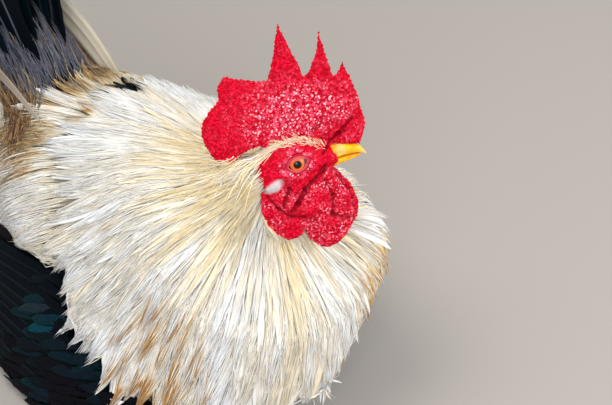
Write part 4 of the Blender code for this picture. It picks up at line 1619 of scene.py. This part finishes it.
def down_thigh(at: Array, normal: Array) -> Array:
    """The thigh's feathers fall back towards the hock."""
    return np.tile([0.0, 0.75, -0.6], (len(at), 1))


def over_face(at: Array, normal: Array) -> Array:
    """The face's hairs run back from the bill, and down behind the ear.

    Args:
        at: places on the head.
        normal: the normals there.

    Returns:
        The way that hairs lie at each place.
    """
    place = HEAD.to_head(at)
    fall = 0.25 + 1.1 * ramp(12, -8, place[:, 1])
    return np.stack([-np.ones(len(at)), -fall, 0.1 * np.sign(place[:, 2])], 1) @ HEAD.axes().T


def up_comb(at: Array, normal: Array) -> Array:
    """The bristles at the foot of the comb run back and up against it."""
    return np.tile(HEAD.axes() @ np.array([-1.0, 0.7, 0.0]), (len(at), 1))


def around(roots: Array, centre: Sequence[float], reach: Sequence[float] | float) -> Array:
    """A soft patch of a marking that is 1 at its centre and fades out over its reach."""
    return np.exp(-(((roots - centre) / reach) ** 2).sum(1))


@dataclass
class Coat:
    """Every feather of the cock except the great ones of its wings and tail."""

    body: Body
    head: Head
    cape_spears = Layer(Cuts.SPEAR, 6.0, (72, 112), (2.7, 4.3), 0.12, 3.0, (0.1, 0.8), 0.05, 0.05, 0.25,
                        steps=11, beyond=(0, 6), locks=0.6)
    cape_hairs = Layer(Cuts.WISP, 2.25, (36, 92), (0.3, 0.62), 0.3, 2.2, (0.5, 2.0), 0.05, 0.3, 0.2,
                       steps=9, beyond=(0, 6), locks=0.75)
    saddle_spears = Layer(Cuts.SPEAR, 6.0, (66, 100), (2.6, 4.2), 0.12, 3.0, (0.1, 0.8), 0.06, 0.05,
                          0.25, steps=11, beyond=(0, 6), locks=0.4)
    saddle_hairs = Layer(Cuts.WISP, 2.4, (36, 84), (0.3, 0.62), 0.3, 2.2, (0.5, 2.0), 0.06, 0.3, 0.2,
                         steps=9, beyond=(0, 5), locks=0.4)
    breast_blades = Layer(Cuts.BLADE, 7.8, (28, 40), (4.6, 6.4), 0.2, 3.5, (0.3, 2.0), 0.16, 0.16, 0.45, 7)
    odd_blades = Layer(Cuts.BLADE, 5.0, (26, 36), (2.6, 4.0), 0.3, 1.0, (2.0, 3.4), 0.15, 0.1, 0.3, 8)
    small_coverts = Layer(Cuts.BLADE, 6.0, (24, 36), (3.6, 5.4), 0.2, 3.0, (0.3, 1.8), 0.16, 0.16, 0.45, 7)
    mid_coverts = Layer(Cuts.BLADE, 9.0, (40, 54), (5.0, 7.0), 0.25, 2.4, (2.4, 3.6), 0.1, 0.12, 0.35, 8)
    tail_blades = Layer(Cuts.BLADE, 10.5, (42, 62), (6.0, 8.5), 0.45, 4.0, (0.4, 2.5), 0.12, 0.15, 0.2, 8)
    tail_threads = Layer(Cuts.WISP, 1.9, (20, 40), (0.22, 0.5), 0.25, 1.5, (0.8, 4.0), 0.13, 0.4, 0.3, 7)
    thigh_scales = Layer(Cuts.SCALE, 6.0, (15, 22), (3.6, 5.0), 0.35, 3.0, (0.3, 1.6), 0.15, 0.15, 0.25, 7)
    face_hairs = Layer(Cuts.WISP, 1.3, (12, 21), (0.28, 0.5), 0.25, 0.8, (0.5, 1.8), 0.12, 0.5, 0.1, 6)
    nape_tufts = Layer(Cuts.WISP, 2.1, (26, 46), (0.4, 0.8), 0.25, 1.2, (0.8, 2.6), 0.1, 0.4, 0.1, 8)
    bristles = Layer(Cuts.WISP, 1.1, (4, 8), (0.16, 0.26), 0.2, 0.6, (1.0, 2.6), 0.45, 0.5, 0.0, 5)
    silk = PlumeFinish("hackle_silk", base="#F4DFAB", pale="#FAFAF8", streak="#8E99A8",
                       shaft="#2C313C", root="#EAE0CC", gold="#B87C16", streak_most=0.7)
    gold = PlumeFinish("saddle_silk", base="#EAD6A4", pale="#F5F5F2", streak="#8D949E",
                       shaft="#3B3028", root="#E6DBC2", gold="#83601F", streak_most=0.7)
    black = PlumeFinish("body_plume", base="#070609", pale="#0D0C11", streak="#141A24",
                        shaft="#1E1E26", root="#040405", gold="#B5690F", amber="#4A220A",
                        sheen_far="#0A5450", sheen_near="#082A40", streak_width=1.2,
                        streak_length=14.0, roughness=0.5, sheen=0.0, specular=0.04)
    down = PlumeFinish("tail_down", base="#3E4353", pale="#6F7384", streak="#1C1E27",
                       shaft="#2A2C36", root="#15161C", gold="#6B3A20")
    odd_patch: tuple[tuple[float, float, float], float] = ((18, 66, 193), 9)
    throat: tuple[tuple[float, float, float], float] = ((-27.0, -31.0, 11.0), 11.0)
    gilt_patch: tuple = ((95.0, 56.0, 92.0), (12.0, 24.0, 12.0))
    # Where the painted sheen on the black feathers is strongest, on both wings.
    green_patch: tuple = ((101.0, 26.0, 78.0), (14.0, 15.0, 13.0))

    def hackle(self) -> None:
        """The cape: long silky spears from the nape to the breast, shoulders and back, with hair on top."""
        finish = self.silk.made()
        home = Ground(node_shape("neck"))
        for name, side in (("right", -1), ("left", 1)):
            faces = self.body.faces("neck", where=lambda c, n, side=side: (side * (c[:, 0] - 4) > 0)
                                    & ((unit(c - COLLAR) * n).sum(1) < 0.8))
            for piece, layer, seed in (("hackle", self.cape_spears, 100 + side),
                                       ("hackle_hair", self.cape_hairs, 110 + side)):
                batch = laid(self.body, faces, layer, from_head, self.cape_marks, seed, self._near_head,
                             home=home)
                stands_for = ["neck"] if (piece, side) == ("hackle", -1) else []
                Plumage(f"{piece}_{name}", [batch]).made(finish, "hackle_plumage", stands_for)

    def cape_marks(self, roots: Array, rng: np.random.Generator) -> dict[str, Array]:
        """Cream by the nape, then white, with grey streaks and gold near the hem.

        Args:
            roots: the feathers' roots.
            rng: the random numbers.

        Returns:
            The marks. Gold also runs from root to tip.
        """
        some = len(roots)
        way = unit(roots - COLLAR)
        far = np.linalg.norm(roots - COLLAR, axis=1)
        band = mottle(way * 80, 13.0, 12)
        flank = ramp(-0.3, -0.5, way[:, 0]) * hump(0.06, 0.3, way[:, 1])
        breast = ramp(0.15, 0.32, way[:, 0]) * ramp(-0.25, -0.42, way[:, 1])
        cool = hump(0.55, 0.45, way[:, 1]) * ramp(0, -0.2, way[:, 0]) * ramp(50, 90, far)
        hem = ramp(84, 108, far + 44 * breast)
        tone = 0.15 + ramp(22, 88, far) * 0.66 + 0.5 * band - 0.7 * breast + 0.1 * cool
        tone = tone + rng.normal(0, 0.18, some)
        dark = (rng.random(some) < 0.08 + 0.12 * hump(0.3, 0.4, way[:, 1])) * ramp(50, 80, far)
        stripes = 0.5 + 0.5 * np.cos(2 * math.pi * (way[:, 1] + 0.01) / 0.13)
        gold = hem * (2.6 * flank * stripes + 1.2 * breast) + rng.normal(-0.1, 0.14, some)
        grey = ramp(45, 95, far) * (0.16 + 0.4 * flank + 0.4 * mottle(roots, 22.0, 13) + 0.9 * dark)
        grey = (grey + 0.35 * cool) * (1 - np.clip(gold, 0, 0.9))
        gold = np.clip(gold, 0, 1)[:, None] * ramp(0.25, 0.8, np.linspace(0, 1, 6))[None, :]
        gold = np.maximum(gold, self._golden_rear(roots) * ramp(0.2, -0.3, band)[:, None])
        throat = around(HEAD.to_head(roots), *self.throat)
        grey = grey + (1.3 * throat + rng.normal(0, 0.12, some))
        shaft = (rng.random(some) < 0.1 + 0.3 * flank) * ramp(55, 90, far) + throat + dark
        return {"tone": np.clip(tone, 0, 1), "grey": np.clip(grey, 0, 1), "gold": gold, "shaft": shaft}

    def _golden_rear(self, roots: Array) -> Array:
        """How golden brown feathers turn, from root to tip, where they reach the tail's foot."""
        run = roots[:, 1:2] + 75 * np.linspace(0, 1, 6)[None, :]
        return ramp(98, 120, run) * ramp(160, 174, roots[:, 2:3])

    def _near_head(self, roots: Array) -> Array:
        """Feathers are small by the nape and full sized on the cape."""
        return 0.36 + 0.64 * ramp(18, 80, np.linalg.norm(roots - COLLAR, axis=1))

    def saddle(self) -> None:
        """The saddle: pointed cream feathers that run back and hang over the flanks."""
        finish = self.gold.made()
        home = Ground(node_shape("saddle"))
        faces = self.body.faces("saddle")
        for name, layer, seed, stands_for in (("saddle_plumes", self.saddle_spears, 201, ["saddle"]),
                                              ("saddle_hair", self.saddle_hairs, 202, [])):
            batch = laid(self.body, faces, layer, over_saddle, self.saddle_marks, seed, home=home)
            Plumage(name, [batch]).made(finish, "saddle_plumage", stands_for)

    def saddle_marks(self, roots: Array, rng: np.random.Generator) -> dict[str, Array]:
        """White on the back and golden down the flanks.

        Args:
            roots: the feathers' roots.
            rng: the random numbers.

        Returns:
            The marks. Gold also runs from root to tip.
        """
        some = len(roots)
        way = unit(roots - COLLAR)
        tone = 0.75 + 0.2 * ramp(115, 85, roots[:, 1]) + 0.5 * mottle(way * 90, 14.0, 21)
        tone = tone + rng.normal(0, 0.16, some)
        gold = (0.08 + self._golden_rear(roots)) * ramp(-0.6, 0.1, mottle(way * 150, 13.0, 22))[:, None]
        gold += rng.normal(-0.05, 0.15, some)[:, None]
        grey = 0.3 + 0.5 * mottle(roots, 18.0, 23) + 0.9 * (rng.random(some) < 0.12)
        return {"tone": np.clip(tone, 0, 1), "gold": np.clip(gold, 0, 1), "grey": np.clip(grey, 0, 1),
                "shaft": rng.random(some) < 0.3}

    def black_marks(self, roots: Array, rng: np.random.Generator) -> dict[str, Array]:
        """Black, with a painted sheen of blue and green in patches, and gold where the wing leaves the
        saddle.

        Args:
            roots: the feathers' roots.
            rng: the random numbers.

        Returns:
            The marks.
        """
        some = len(roots)
        # Painted sheen: how much blue and green sheen each black feather carries.
        gloss = np.clip(0.02 + 0.45 * mottle(roots, 26.0, 31) + rng.normal(0, 0.08, some), 0, 1)
        gold = np.where(rng.random(some) < 0.6, 1.7 * around(np.abs(roots), *self.gilt_patch) - 0.2, 0)
        gloss += 1.1 * around(np.abs(roots), *self.green_patch)
        return {"gloss": gloss, "grey": np.full(some, 0.2), "gold": np.clip(gold, 0, 1)}

    def slate_marks(self, roots: Array, rng: np.random.Generator) -> dict[str, Array]:
        """Slate grey, rusty brown low on the sides.

        Args:
            roots: the threads' roots.
            rng: the random numbers.

        Returns:
            The marks.
        """
        some = len(roots)
        rust = ramp(182, 160, roots[:, 2]) * ramp(12, 30, np.abs(roots[:, 0])) + rng.normal(-0.1, 0.2, some)
        return {"grey": np.full(some, 0.8), "gold": np.clip(rust, 0, 1)}

    def cream_marks(self, roots: Array, rng: np.random.Generator) -> dict[str, Array]:
        """Yellow cream, with white threads."""
        return {"tone": np.clip(0.2 + rng.normal(0, 0.3, len(roots)), 0, 1),
                "gold": np.clip(rng.normal(-0.05, 0.2, len(roots)), 0, 0.6)}

    def _black_piece(self, name: str, finish: bpy.types.Material, replaces: Sequence[str],
                     *rows: tuple[Array, Layer, Flow, int]) -> None:
        """Builds one piece of black feathers.

        Args:
            name: the piece's name.
            finish: its material.
            replaces: the CAD nodes that it stands for.
            rows: the faces, layer, flow and seed of each growth of feathers in it.
        """
        batches = [laid(self.body, *row[:3], self.black_marks, row[3]) for row in rows]
        Plumage(name, batches).made(finish, "black_plumage", replaces)

    def breast(self, finish: bpy.types.Material) -> None:
        """The round feathers of the breast, flanks and belly, and a few odd ones on the back.

        Args:
            finish: the black feathers' material.
        """
        place, reach = self.odd_patch
        under = self.body.faces("trunk", where=lambda c, n: c[:, 2] > 3)
        back = self.body.faces("neck", "saddle",
                               where=lambda c, n: np.linalg.norm(c - place, axis=1) < reach)
        self._black_piece("breast_plumes", finish, [], (under, self.breast_blades, over_body, 301),
                          (back, self.odd_blades, over_saddle, 302))

    def wings(self, finish: bpy.types.Material) -> None:
        """The small and middle coverts, on the outer side of both wings.

        Args:
            finish: the black feathers' material.
        """
        rows = []
        for front, rear, layer, seed in ((-math.inf, -5, self.small_coverts, 401),
                                         (-15, 42, self.mid_coverts, 402)):
            faces = self.body.faces("wing", where=lambda c, n, front=front, rear=rear: (
                (c[:, 1] > front) & (c[:, 1] < rear) & (n[:, 0] * np.sign(c[:, 0]) > -0.4)))
            rows.append((faces, layer, along_wing, seed))
        self._black_piece("wing_coverts", finish, ["wing_left", "wing_right"], *rows)

    def tail_base(self, finish: bpy.types.Material) -> None:
        """The coverts at the foot of the tail, and the down between them.

        Args:
            finish: the black feathers' material.
        """
        faces = self.body.faces("tail_coverts")
        self._black_piece("tail_covert_plumes", finish, ["tail_coverts"],
                          (faces, self.tail_blades, up_tail, 501))
        low = self.body.faces("tail_coverts", "saddle",
                              where=lambda c, n: (c[:, 1] > 118) & (c[:, 2] > 150) & (c[:, 2] < 212))
        threads = laid(self.body, low, self.tail_threads, up_tail, self.slate_marks, 502)
        Plumage("tail_fluff", [threads]).made(self.down.made(), "black_plumage")

    def thighs(self, finish: bpy.types.Material) -> None:
        """The soft small feathers of the thighs."""
        faces = self.body.faces("thigh")
        self._black_piece("thigh_plumes", finish, [], (faces, self.thigh_scales, down_thigh, 601))

    def face(self) -> None:
        """The hair-like feathers behind the face, over the eye and round the ear."""
        finish = self.silk.made()
        skin = self.head.ground
        centres = skin.shape.points[skin.shape.faces].mean(1)
        head = HEAD.to_head(centres)
        foot = np.interp(head[:, 0], (-12, 0, 8, 16, 22), (12.5, 12.5, 11.5, 7.5, 3.5))
        by_comb = (np.abs(head[:, 1] - foot) < 1.6) & (head[:, 0] > -12) & (head[:, 0] < 22)
        behind = self.body.faces("head", where=lambda c, n: self._hairy(c, -0.5))
        rows = ((np.flatnonzero(self._hairy(centres, 0.5)), self.face_hairs, over_face, 701, skin),
                (behind, self.nape_tufts, over_face, 702, None),
                (np.flatnonzero(by_comb), self.bristles, up_comb, 703, skin))
        Plumage("face_plumes", [laid(self.body, faces, layer, flow, self.cream_marks, seed, ground=ground)
                                for faces, layer, flow, seed, ground in rows]).made(finish, "hackle_plumage")

    def _hairy(self, centres: Array, border: float) -> Array:
        """Where the head is hairy: behind the bare face, and not under the comb.

        Args:
            centres: places on the head.
            border: how far behind the edge of the face the hair starts.

        Returns:
            Whether each place is hairy.
        """
        head = HEAD.to_head(centres)
        comb = (np.abs(head[:, 2]) < 6.0) & (head[:, 1] > 11.0)
        return (self.head.behind_face(head) > border) & ~comb & (head[:, 0] > -45)

    def made(self) -> None:
        """Builds the whole coat."""
        self.hackle()
        self.saddle()
        self.face()
        black = self.black.made()
        for part in (self.breast, self.wings, self.tail_base, self.thighs):
            part(black)


# ------------------------------------------------------------
# The great feathers of the tail and wings


def fan_outline(v: float) -> float:
    """A broad feather with a round end."""
    return min(0.45 + 2.2 * v, 1.0) * math.sqrt(max(1 - max(v - 0.86, 0) ** 2 / 0.14**2, 0.004))


def sickle_outline(v: float) -> float:
    """A long feather that tapers to a point."""
    return max(min(1.0, 0.55 + 1.6 * v, 2.6 * (1.02 - v)), 0.03)


def flight_outline(v: float) -> float:
    """A stiff feather with a blunt point."""
    return min(0.5 + 2.0 * v, 1.0) * math.sqrt(max(1 - max(v - 0.8, 0) ** 2 / 0.2**2, 0.004))


@dataclass
class GreatFeathers:
    """The main tail feathers, the sickles and the flights, each one by itself."""

    root: tuple[float, float] = (138.0, 152.0)
    fan_count: int = 7
    fan_angles: tuple[float, float] = (31.0, 75.0)
    fan_lengths: tuple[float, float] = (128.0, 175.0)
    fan_half_width: float = 14.5
    splay: float = 0.14
    sickle: tuple = ((145, 176), (160, 240), (178, 312), (222, 368), (288, 378), (338, 330), (364, 262))
    lesser: tuple = (
        (((108, 168), (139, 191), (176, 209), (214, 219), (254, 211), (284, 184)), 11.0, (37, 45), True),
        (((150, 170), (176, 232), (212, 272), (256, 280), (290, 252)), 8.5, (24, 36), False),
        (((144, 146), (178, 168), (214, 168), (244, 146), (258, 116)), 7.5, (38, 64), True))
    flight_count: int = 12
    # For each wing: its side, the lowest and the highest flight as start, middle and tip, and its tilt.
    wings: tuple = (
        (1, "left", ((74, 4, 70), (70, 62, 84), (46, 118, 104)),
         ((65, 26, 128), (58, 62, 124), (38, 160, 124)), 0.18),
        (-1, "right", ((118, -4, 9), (118, 62, 10), (90, 128, 22)),
         ((86, 34, 92), (80, 78, 92), (70, 164, 68)), 0.42))
    black = PlumeFinish("great_plume", base="#050507", pale="#0A0A0E", streak="#12161E", shaft="#5E6470",
                        root="#060607", gold="#B5690F", sheen_far="#053230", sheen_near="#08142A",
                        streak_width=0.8, streak_length=7.0, roughness=0.42, shaft_width=0.08,
                        shaft_most=0.75, sheen=0.0, specular=0.03)
    cream = PlumeFinish("sickle_silk", base="#D8C7A0", pale="#EFE8D6", streak="#A99A80", shaft="#7A6A54",
                        root="#B8AE9A", gold="#4E2412", amber="#6B3A1C", streak_width=0.8,
                        streak_length=9.0, shaft_width=0.08, roughness=0.5)

    def blade(self, sign: int, path: Array, sides: Array, half_width: float, cut: Cut, seed: int,
              marks: dict[str, float], camber: float = 0.12, facing: tuple = (1.0, 0.0, 0.0)) -> Batch:
        """One feather that stands on edge beside the tail.

        Args:
            sign: 1 on the left side and -1 on the right.
            path: its shaft, as points (back, height).
            sides: how far out each point of the shaft is.
            half_width: half its width.
            cut: its cut.
            seed: the seed of its ragged edge.
            marks: its marks.
            camber: how far its edges fall towards the tail, as a share of its half width.
            facing: where its outer face looks, on the left side.

        Returns:
            The feather.
        """
        line = np.column_stack([sign * sides, path])[None]
        up = np.tile(unit(np.array(facing) * (sign, 1, 1)), (1, len(path), 1))
        return Batch(cut, line, up, np.array([half_width]), np.array([0.55]),
                     {k: np.array([v]) for k, v in marks.items()}, None, 0.07, camber, seed)

    def tail(self) -> None:
        """The tail's main feathers and its sickles."""
        fan_cut, sickle_cut = great_cut(26, fan_outline), great_cut(44, sickle_outline)
        share = np.linspace(0, 1, 30)
        fans, sickles, creams = [], [], []
        for sign in (1, -1):
            for i in range(self.fan_count):
                fans.append(self.fan_feather(sign, i, share, fan_cut))
            path = resampled(self.sickle, share)
            sickles.append(self.blade(sign, path, 7 + 13 * share, 13.0, sickle_cut, 80 + sign,
                                      {"tone": 0.3, "gloss": 0.5, "grey": 0.4, "shaft": 1.0}))
            for k, (keys, half_width, (near, far), pale) in enumerate(self.lesser):
                rust = 0.9 if k == 2 or (k == 0 and sign < 0) else 0.0
                marks = {"tone": 0.6, "gloss": 0.5, "grey": 0.6, "shaft": 1.0, "gold": rust}
                feather = self.blade(sign, resampled(keys, share), near + (far - near) * share, half_width,
                                     sickle_cut, 90 + 3 * k + sign, marks,
                                     facing=(1.0, 0.35, -0.2) if pale else (1.0, 0.0, 0.0))
                (creams if pale else sickles).append(feather)
        black = self.black.made()
        for name, feathers, finish, slot, replaced in (
                ("tail_feathers", fans, black, "black_plumage", ("tail_fan_{}",)),
                ("sickle_feathers", sickles, black, "black_plumage", ("sickle_{}", "lesser_sickle_{}_2")),
                ("cream_sickle_feathers", creams, self.cream.made(), "saddle_plumage",
                 ("lesser_sickle_{}_1", "lesser_sickle_{}_3"))):
            nodes = [node.format(side) for side in ("left", "right") for node in replaced]
            Plumage(name, feathers).made(finish, slot, nodes)

    def fan_feather(self, sign: int, i: int, share: Array, cut: Cut) -> Batch:
        """One of the tail's main feathers.

        Args:
            sign: 1 on the left side and -1 on the right.
            i: its number from the lowest one up.
            share: where the points of its shaft are, from 0 at the root to 1 at the tip.
            cut: its cut.

        Returns:
            The feather.
        """
        at = i / (self.fan_count - 1)
        (low, high), (short, long) = self.fan_angles, self.fan_lengths
        angle = np.radians(low + (high - low) * at + 3 * (0.4 - share**2))
        distance = 22 + (short + (long - short) * at**0.7 - 22) * share
        path = np.column_stack([np.cos(angle), np.sin(angle)]) * distance[:, None] + self.root
        sides = 4.2 + self.splay * distance + 1.3 * (i % 2) + 0.4 * i
        return self.blade(sign, path, sides, self.fan_half_width, cut, 10 * i + sign,
                          {"tone": 0.4, "gloss": 0.2, "grey": 0.4, "shaft": 1.0}, 0.1)

    def flights(self) -> None:
        """The flights of both wings, laid edge over edge between a lowest and a highest one."""
        cut = great_cut(22, flight_outline)
        share = np.linspace(0, 1, 12)[:, None]
        marks = {"tone": np.array([0.3]), "gloss": np.array([0.2]), "grey": np.array([0.3]),
                 "shaft": np.array([0.08]), "gold": np.array([0.0])}
        feathers = []
        for sign, side, lowest, highest, tilt in self.wings:
            ground = Ground(joined([node_shape(f"wing_{side}"), node_shape(f"wing_flights_{side}")]))
            outward = np.tile(unit(np.array([sign * 1.0, 0.2, tilt])), (12, 1))
            low, high = np.array(lowest), np.array(highest)
            for i in range(self.flight_count):
                start, mid, end = low + (high - low) * i / (self.flight_count - 1)
                line = (1 - share) ** 2 * start + 2 * share * (1 - share) * mid + share**2 * end
                line = ground.struck(line * (sign, 1, 1), outward) + outward * (1.3 + 0.3 * (i % 3))
                line = self.straightened(line)
                line[:, 2] = np.maximum(line[:, 2], 2.5)
                feathers.append(Batch(cut, line[None], outward[None], np.array([8.0]), np.array([0.45]),
                                      marks, None, 0.05, 0.12, 40 + i))
        Plumage("flight_feathers", feathers).made(self.black.made(), "flight_plumage",
                                                  ["wing_flights_left", "wing_flights_right"])

    @staticmethod
    def straightened(line: Array, rounds: int = 4) -> Array:
        """Takes the small bends out of a line, and keeps its ends.

        Args:
            line: its points.
            rounds: how many times it is smoothed.

        Returns:
            The line.
        """
        for _ in range(rounds):
            line = np.vstack([line[:1], (line[:-2] + 2 * line[1:-1] + line[2:]) / 4, line[-1:]])
        return line

    def made(self) -> None:
        """Builds them all."""
        self.tail()
        self.flights()


# ------------------------------------------------------------
# The stage


@dataclass(frozen=True)
class Stage:
    """A pale floor, a soft sky and a large soft lamp, seen from above the cock's right front."""

    place: tuple[float, float, float] = (-0.8902, -0.9076, 1.2074)
    right: tuple[float, float, float] = (0.669, -0.743, 0.0)
    up: tuple[float, float, float] = (0.478, 0.430, 0.766)
    back: tuple[float, float, float] = (-0.569, -0.5125, 0.643)
    lens: float = 138.15

    def made(self) -> None:
        """Builds the floor, the lights and the camera."""
        scene = bpy.context.scene
        scene.view_settings.view_transform = "Standard"
        self._floor()
        self._lamp("key", (-0.45, 0.25, 1.6), 0.9, 12.5, "#FFFCF7")
        self._lamp("fill", (-1.2, -1.2, 1.1), 1.3, 22.0, "#F4F7FF")
        self._lamp("front", (0.9, -1.2, 0.8), 1.1, 14.0, "#FFFFFF")
        world = bpy.data.worlds.new("soft_sky")
        world.use_nodes = True
        world.node_tree.nodes["Background"].inputs[0].default_value = linear("#E8ECF2")
        world.node_tree.nodes["Background"].inputs[1].default_value = 0.75
        scene.world = world
        data = bpy.data.cameras.new("camera")
        data.lens, data.sensor_width = self.lens, 36.0
        camera = bpy.data.objects.new("camera", data)
        turned = Matrix((self.right, self.up, self.back)).transposed().to_4x4()
        turned.translation = self.place
        camera.matrix_world = turned
        scene.collection.objects.link(camera)
        scene.camera = camera

    def _lamp(self, name: str, place: tuple[float, float, float], size: float, power: float,
              colour: str) -> None:
        """Adds one soft lamp that faces the cock.

        Args:
            name: its name.
            place: where it stands, in metres.
            size: how wide it is, in metres.
            power: its power in watts.
            colour: the colour of its light.
        """
        data = bpy.data.lights.new(name, "AREA")
        data.shape, data.size, data.energy = "DISK", size, power
        data.color = linear(colour)[:3]
        lamp = bpy.data.objects.new(name, data)
        lamp.location = place
        lamp.rotation_euler = (Vector(place) - Vector((0, 0, 0.12))).to_track_quat("Z", "Y").to_euler()
        bpy.context.scene.collection.objects.link(lamp)

    def _floor(self) -> None:
        """Adds the plain floor."""
        plane = bmesh.new()
        bmesh.ops.create_grid(plane, x_segments=1, y_segments=1, size=6.0)
        mesh = bpy.data.meshes.new("floor")
        plane.to_mesh(mesh)
        plane.free()
        floor = bpy.data.objects.new("floor", mesh)
        mesh.materials.append(Recipe("pale_floor").done("#A8A199", Roughness=0.9, Specular_IOR_Level=0.2))
        bpy.context.scene.collection.objects.link(floor)


def main() -> None:
    """Builds the cock in order."""
    logging.basicConfig(level=logging.INFO, format="%(message)s", stream=sys.stdout)
    Stage().made()
    body, head = Body(), Head()
    Skin(head, body).made()
    Eyes(head.lids).made()
    Bill().made()
    Legs().made()
    Coat(body, head).made()
    GreatFeathers().made()


if __name__ == "__main__":
    main()
